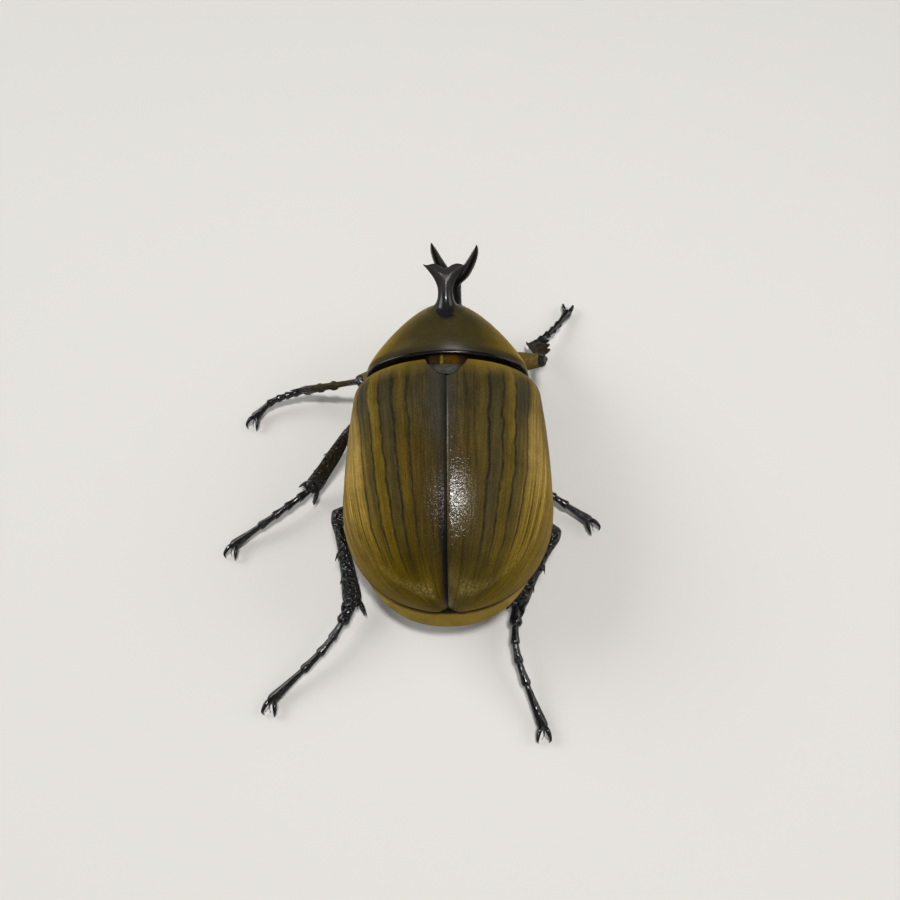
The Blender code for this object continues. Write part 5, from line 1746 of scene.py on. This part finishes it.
def leg(index, label, looks, hip_look, hair_look):
    """One leg in its finishes: hip, thigh, shin, foot and claws, with its hairs."""
    pair, hand = label.split("_")
    side = -1 if hand == "left" else 1
    knee, ankle, bend, toe = [Vector(point) for point in STANCE[label][:4]]
    hip = mirrored(HIPS[pair], side)
    start = hip + (knee - hip).normalized() * 1.6
    guide = Vector(TOOTHED_EDGE.get(label, (side * 1.0, 0.2, 0.6)))
    knots = foot_knots(ankle, bend, toe)
    lower = shin(label, pair, knee, ankle, guide)
    shin_way, shin_length = (ankle - knee).normalized(), (ankle - knee).length
    marked(lower, "along", lambda point: (point - knee).dot(shin_way) / shin_length)
    upper = thigh(label, start, knee, THIGH_THICKNESS[pair])
    thigh_way = (knee - start).normalized()
    velvet_end = (0.93 if pair == "front" else -1.0) * (knee - start).length
    marked(upper, "along", lambda point: 0.5 if (point - start).dot(thigh_way) < velvet_end else 1.0)
    roots = leg_roots(lower, upper, start, knee, ankle, index)
    locks = [lock(2, 1.1, 0.026, 0.25, seed) for seed in (4, 5)]
    settled(planted(f"leg_hair_{label}", locks, roots), hair_look, "leg")
    settled(hip_joint(label, hip, knee), hip_look, "leg", f"coxa_{label}")
    settled(upper, looks["thigh_front" if pair == "front" else "black"], "leg", f"femur_{label}")
    settled(lower, looks.get(label, looks["black"]), "leg", f"tibia_{label}")
    settled(marked(foot(label, knots), "along", lambda point: 0.0), looks["foot"], "leg", f"tarsus_{label}")
    claw_pair = claws(label, side, knots, STANCE[label][4])
    settled(marked(claw_pair, "along", lambda point: 0.0), looks["foot"], "leg")


def build():
    """Every piece in its finish, then the camera and the studio."""
    horn_black = horn_finish()
    brown_shell = polished_finish("breast_brown", (0.022, 0.013, 0.006), 0.32, 1800.0, 0.0001)
    head_shell = polished_finish("head_black", (0.010, 0.008, 0.006), 0.25, 2400.0, 0.00008)
    leg_looks = {
        "black": leg_finish("leg_black", 0.0, 1.0),
        "front_left": leg_finish("leg_olive", 0.95, 0.5, (0.020, 0.016, 0.007), (0.060, 0.047, 0.018)),
        "middle_left": leg_finish("leg_brown", 0.8, 0.5, (0.008, 0.006, 0.003), (0.026, 0.019, 0.008)),
        "front_right": leg_finish(
            "leg_umber", 0.85, 0.3, (0.010, 0.0065, 0.003), (0.034, 0.023, 0.010), 0.12
        ),
        "thigh_front": leg_finish("thigh_olive", 0.95, 0.3, (0.060, 0.044, 0.010), (0.150, 0.105, 0.024)),
        "foot": leg_finish("foot_black", 0.0, 0.25),
    }
    feeler_brown = plain_finish("feeler_brown", (0.05, 0.018, 0.006), (0.09, 0.035, 0.012), 0.3, 900.0)
    dark_hair = plain_finish("hair_dark", (0.020, 0.010, 0.004), (0.06, 0.028, 0.008), 0.45, 2500.0)
    amber_hair = plain_finish("hair_amber", (0.16, 0.065, 0.012), (0.34, 0.16, 0.035), 0.5, 2500.0)
    russet_hair = plain_finish("hair_russet", (0.10, 0.035, 0.008), (0.24, 0.095, 0.02), 0.45, 2500.0)
    fringe_hair = plain_finish("hair_fringe", (0.016, 0.007, 0.0015), (0.15, 0.075, 0.010), 0.6, 1500.0)
    bead_black = plain_finish("bead_black", (0.002, 0.002, 0.002), (0.004, 0.0035, 0.003), 0.16, 700.0, 0.3)
    wing_velvet = velvet_finish("wing_velvet")

    for side, hand in ((-1, "left"), (1, "right")):
        settled(wing_case(side, f"wing_case_{hand}"), wing_velvet, "wing_case", f"elytron_{hand}")
        settled(eye(side, f"facet_eye_{hand}"), eye_finish(), "eye", f"eye_{hand}")
        settled(feeler(side, f"feeler_{hand}"), feeler_brown, "feeler", f"antenna_{hand}")
        settled(jaw(side, f"jaw_{hand}"), head_shell, "body", f"mandible_{hand}")
        settled(palp(side, f"mouth_palp_{hand}"), feeler_brown, "feeler", f"palp_{hand}")

    shell, corners = shield()
    shield_velvet = shield_finish()
    settled(shield_marks(shell), shield_velvet, "shield", "pronotum")
    settled(shield_marks(joined("shield_corners", corners)), shield_velvet, "shield")
    settled(rear_bead(), bead_black, "horn")
    horn = shield_horn()
    marked(shield_marks(horn), "spoon", spoon_share)
    settled(horn, horn_black, "horn", "horn_pronotum")
    lyre = head_horn()
    for name in ("side", "length", "black", "foot", "spoon"):
        marked(lyre, name, lambda point: 0.0)
    settled(lyre, horn_black, "horn", "horn_head")
    settled(head_plate(), head_shell, "body", "head")
    settled(plate(), slate_finish(), "shield", "scutellum")
    bristles = [lock(3, 2.3, 0.03, 0.2, seed) for seed in (8, 9)]
    settled(planted("mouth_bristles", bristles, mouth_roots()), russet_hair, "body")

    breast, belly, tail = trunk_parts()
    breast_roots, belly_roots = trunk_roots(breast, belly)
    for name, roots in (("breast_hair", breast_roots), ("belly_hair", belly_roots)):
        locks = [lock(5, 1.7, 0.035, 0.35, seed) for seed in (1, 2, 3)]
        settled(planted(name, locks, roots), amber_hair, "body")
    settled(breast, brown_shell, "body", "thorax")
    marked(belly, "dust", lambda point: clamp((-9.0 - point.y) / 4.0) * clamp((point.z - 7.6) / 2.0))
    settled(belly, belly_finish(), "body", "abdomen")
    settled(tail, tail_finish(), "tail_plate", "pygidium")

    for index, label in enumerate(STANCE):
        leg(index, label, leg_looks, brown_shell, dark_hair)

    settled(neck_membrane(), membrane_finish(), "body")
    fringe = [lock(4, 1.4, 0.026, 0.2, seed) for seed in (6, 7)]
    settled(planted("neck_fringe", fringe, fringe_roots()), fringe_hair, "body")
    photo_camera()
    studio()


build()
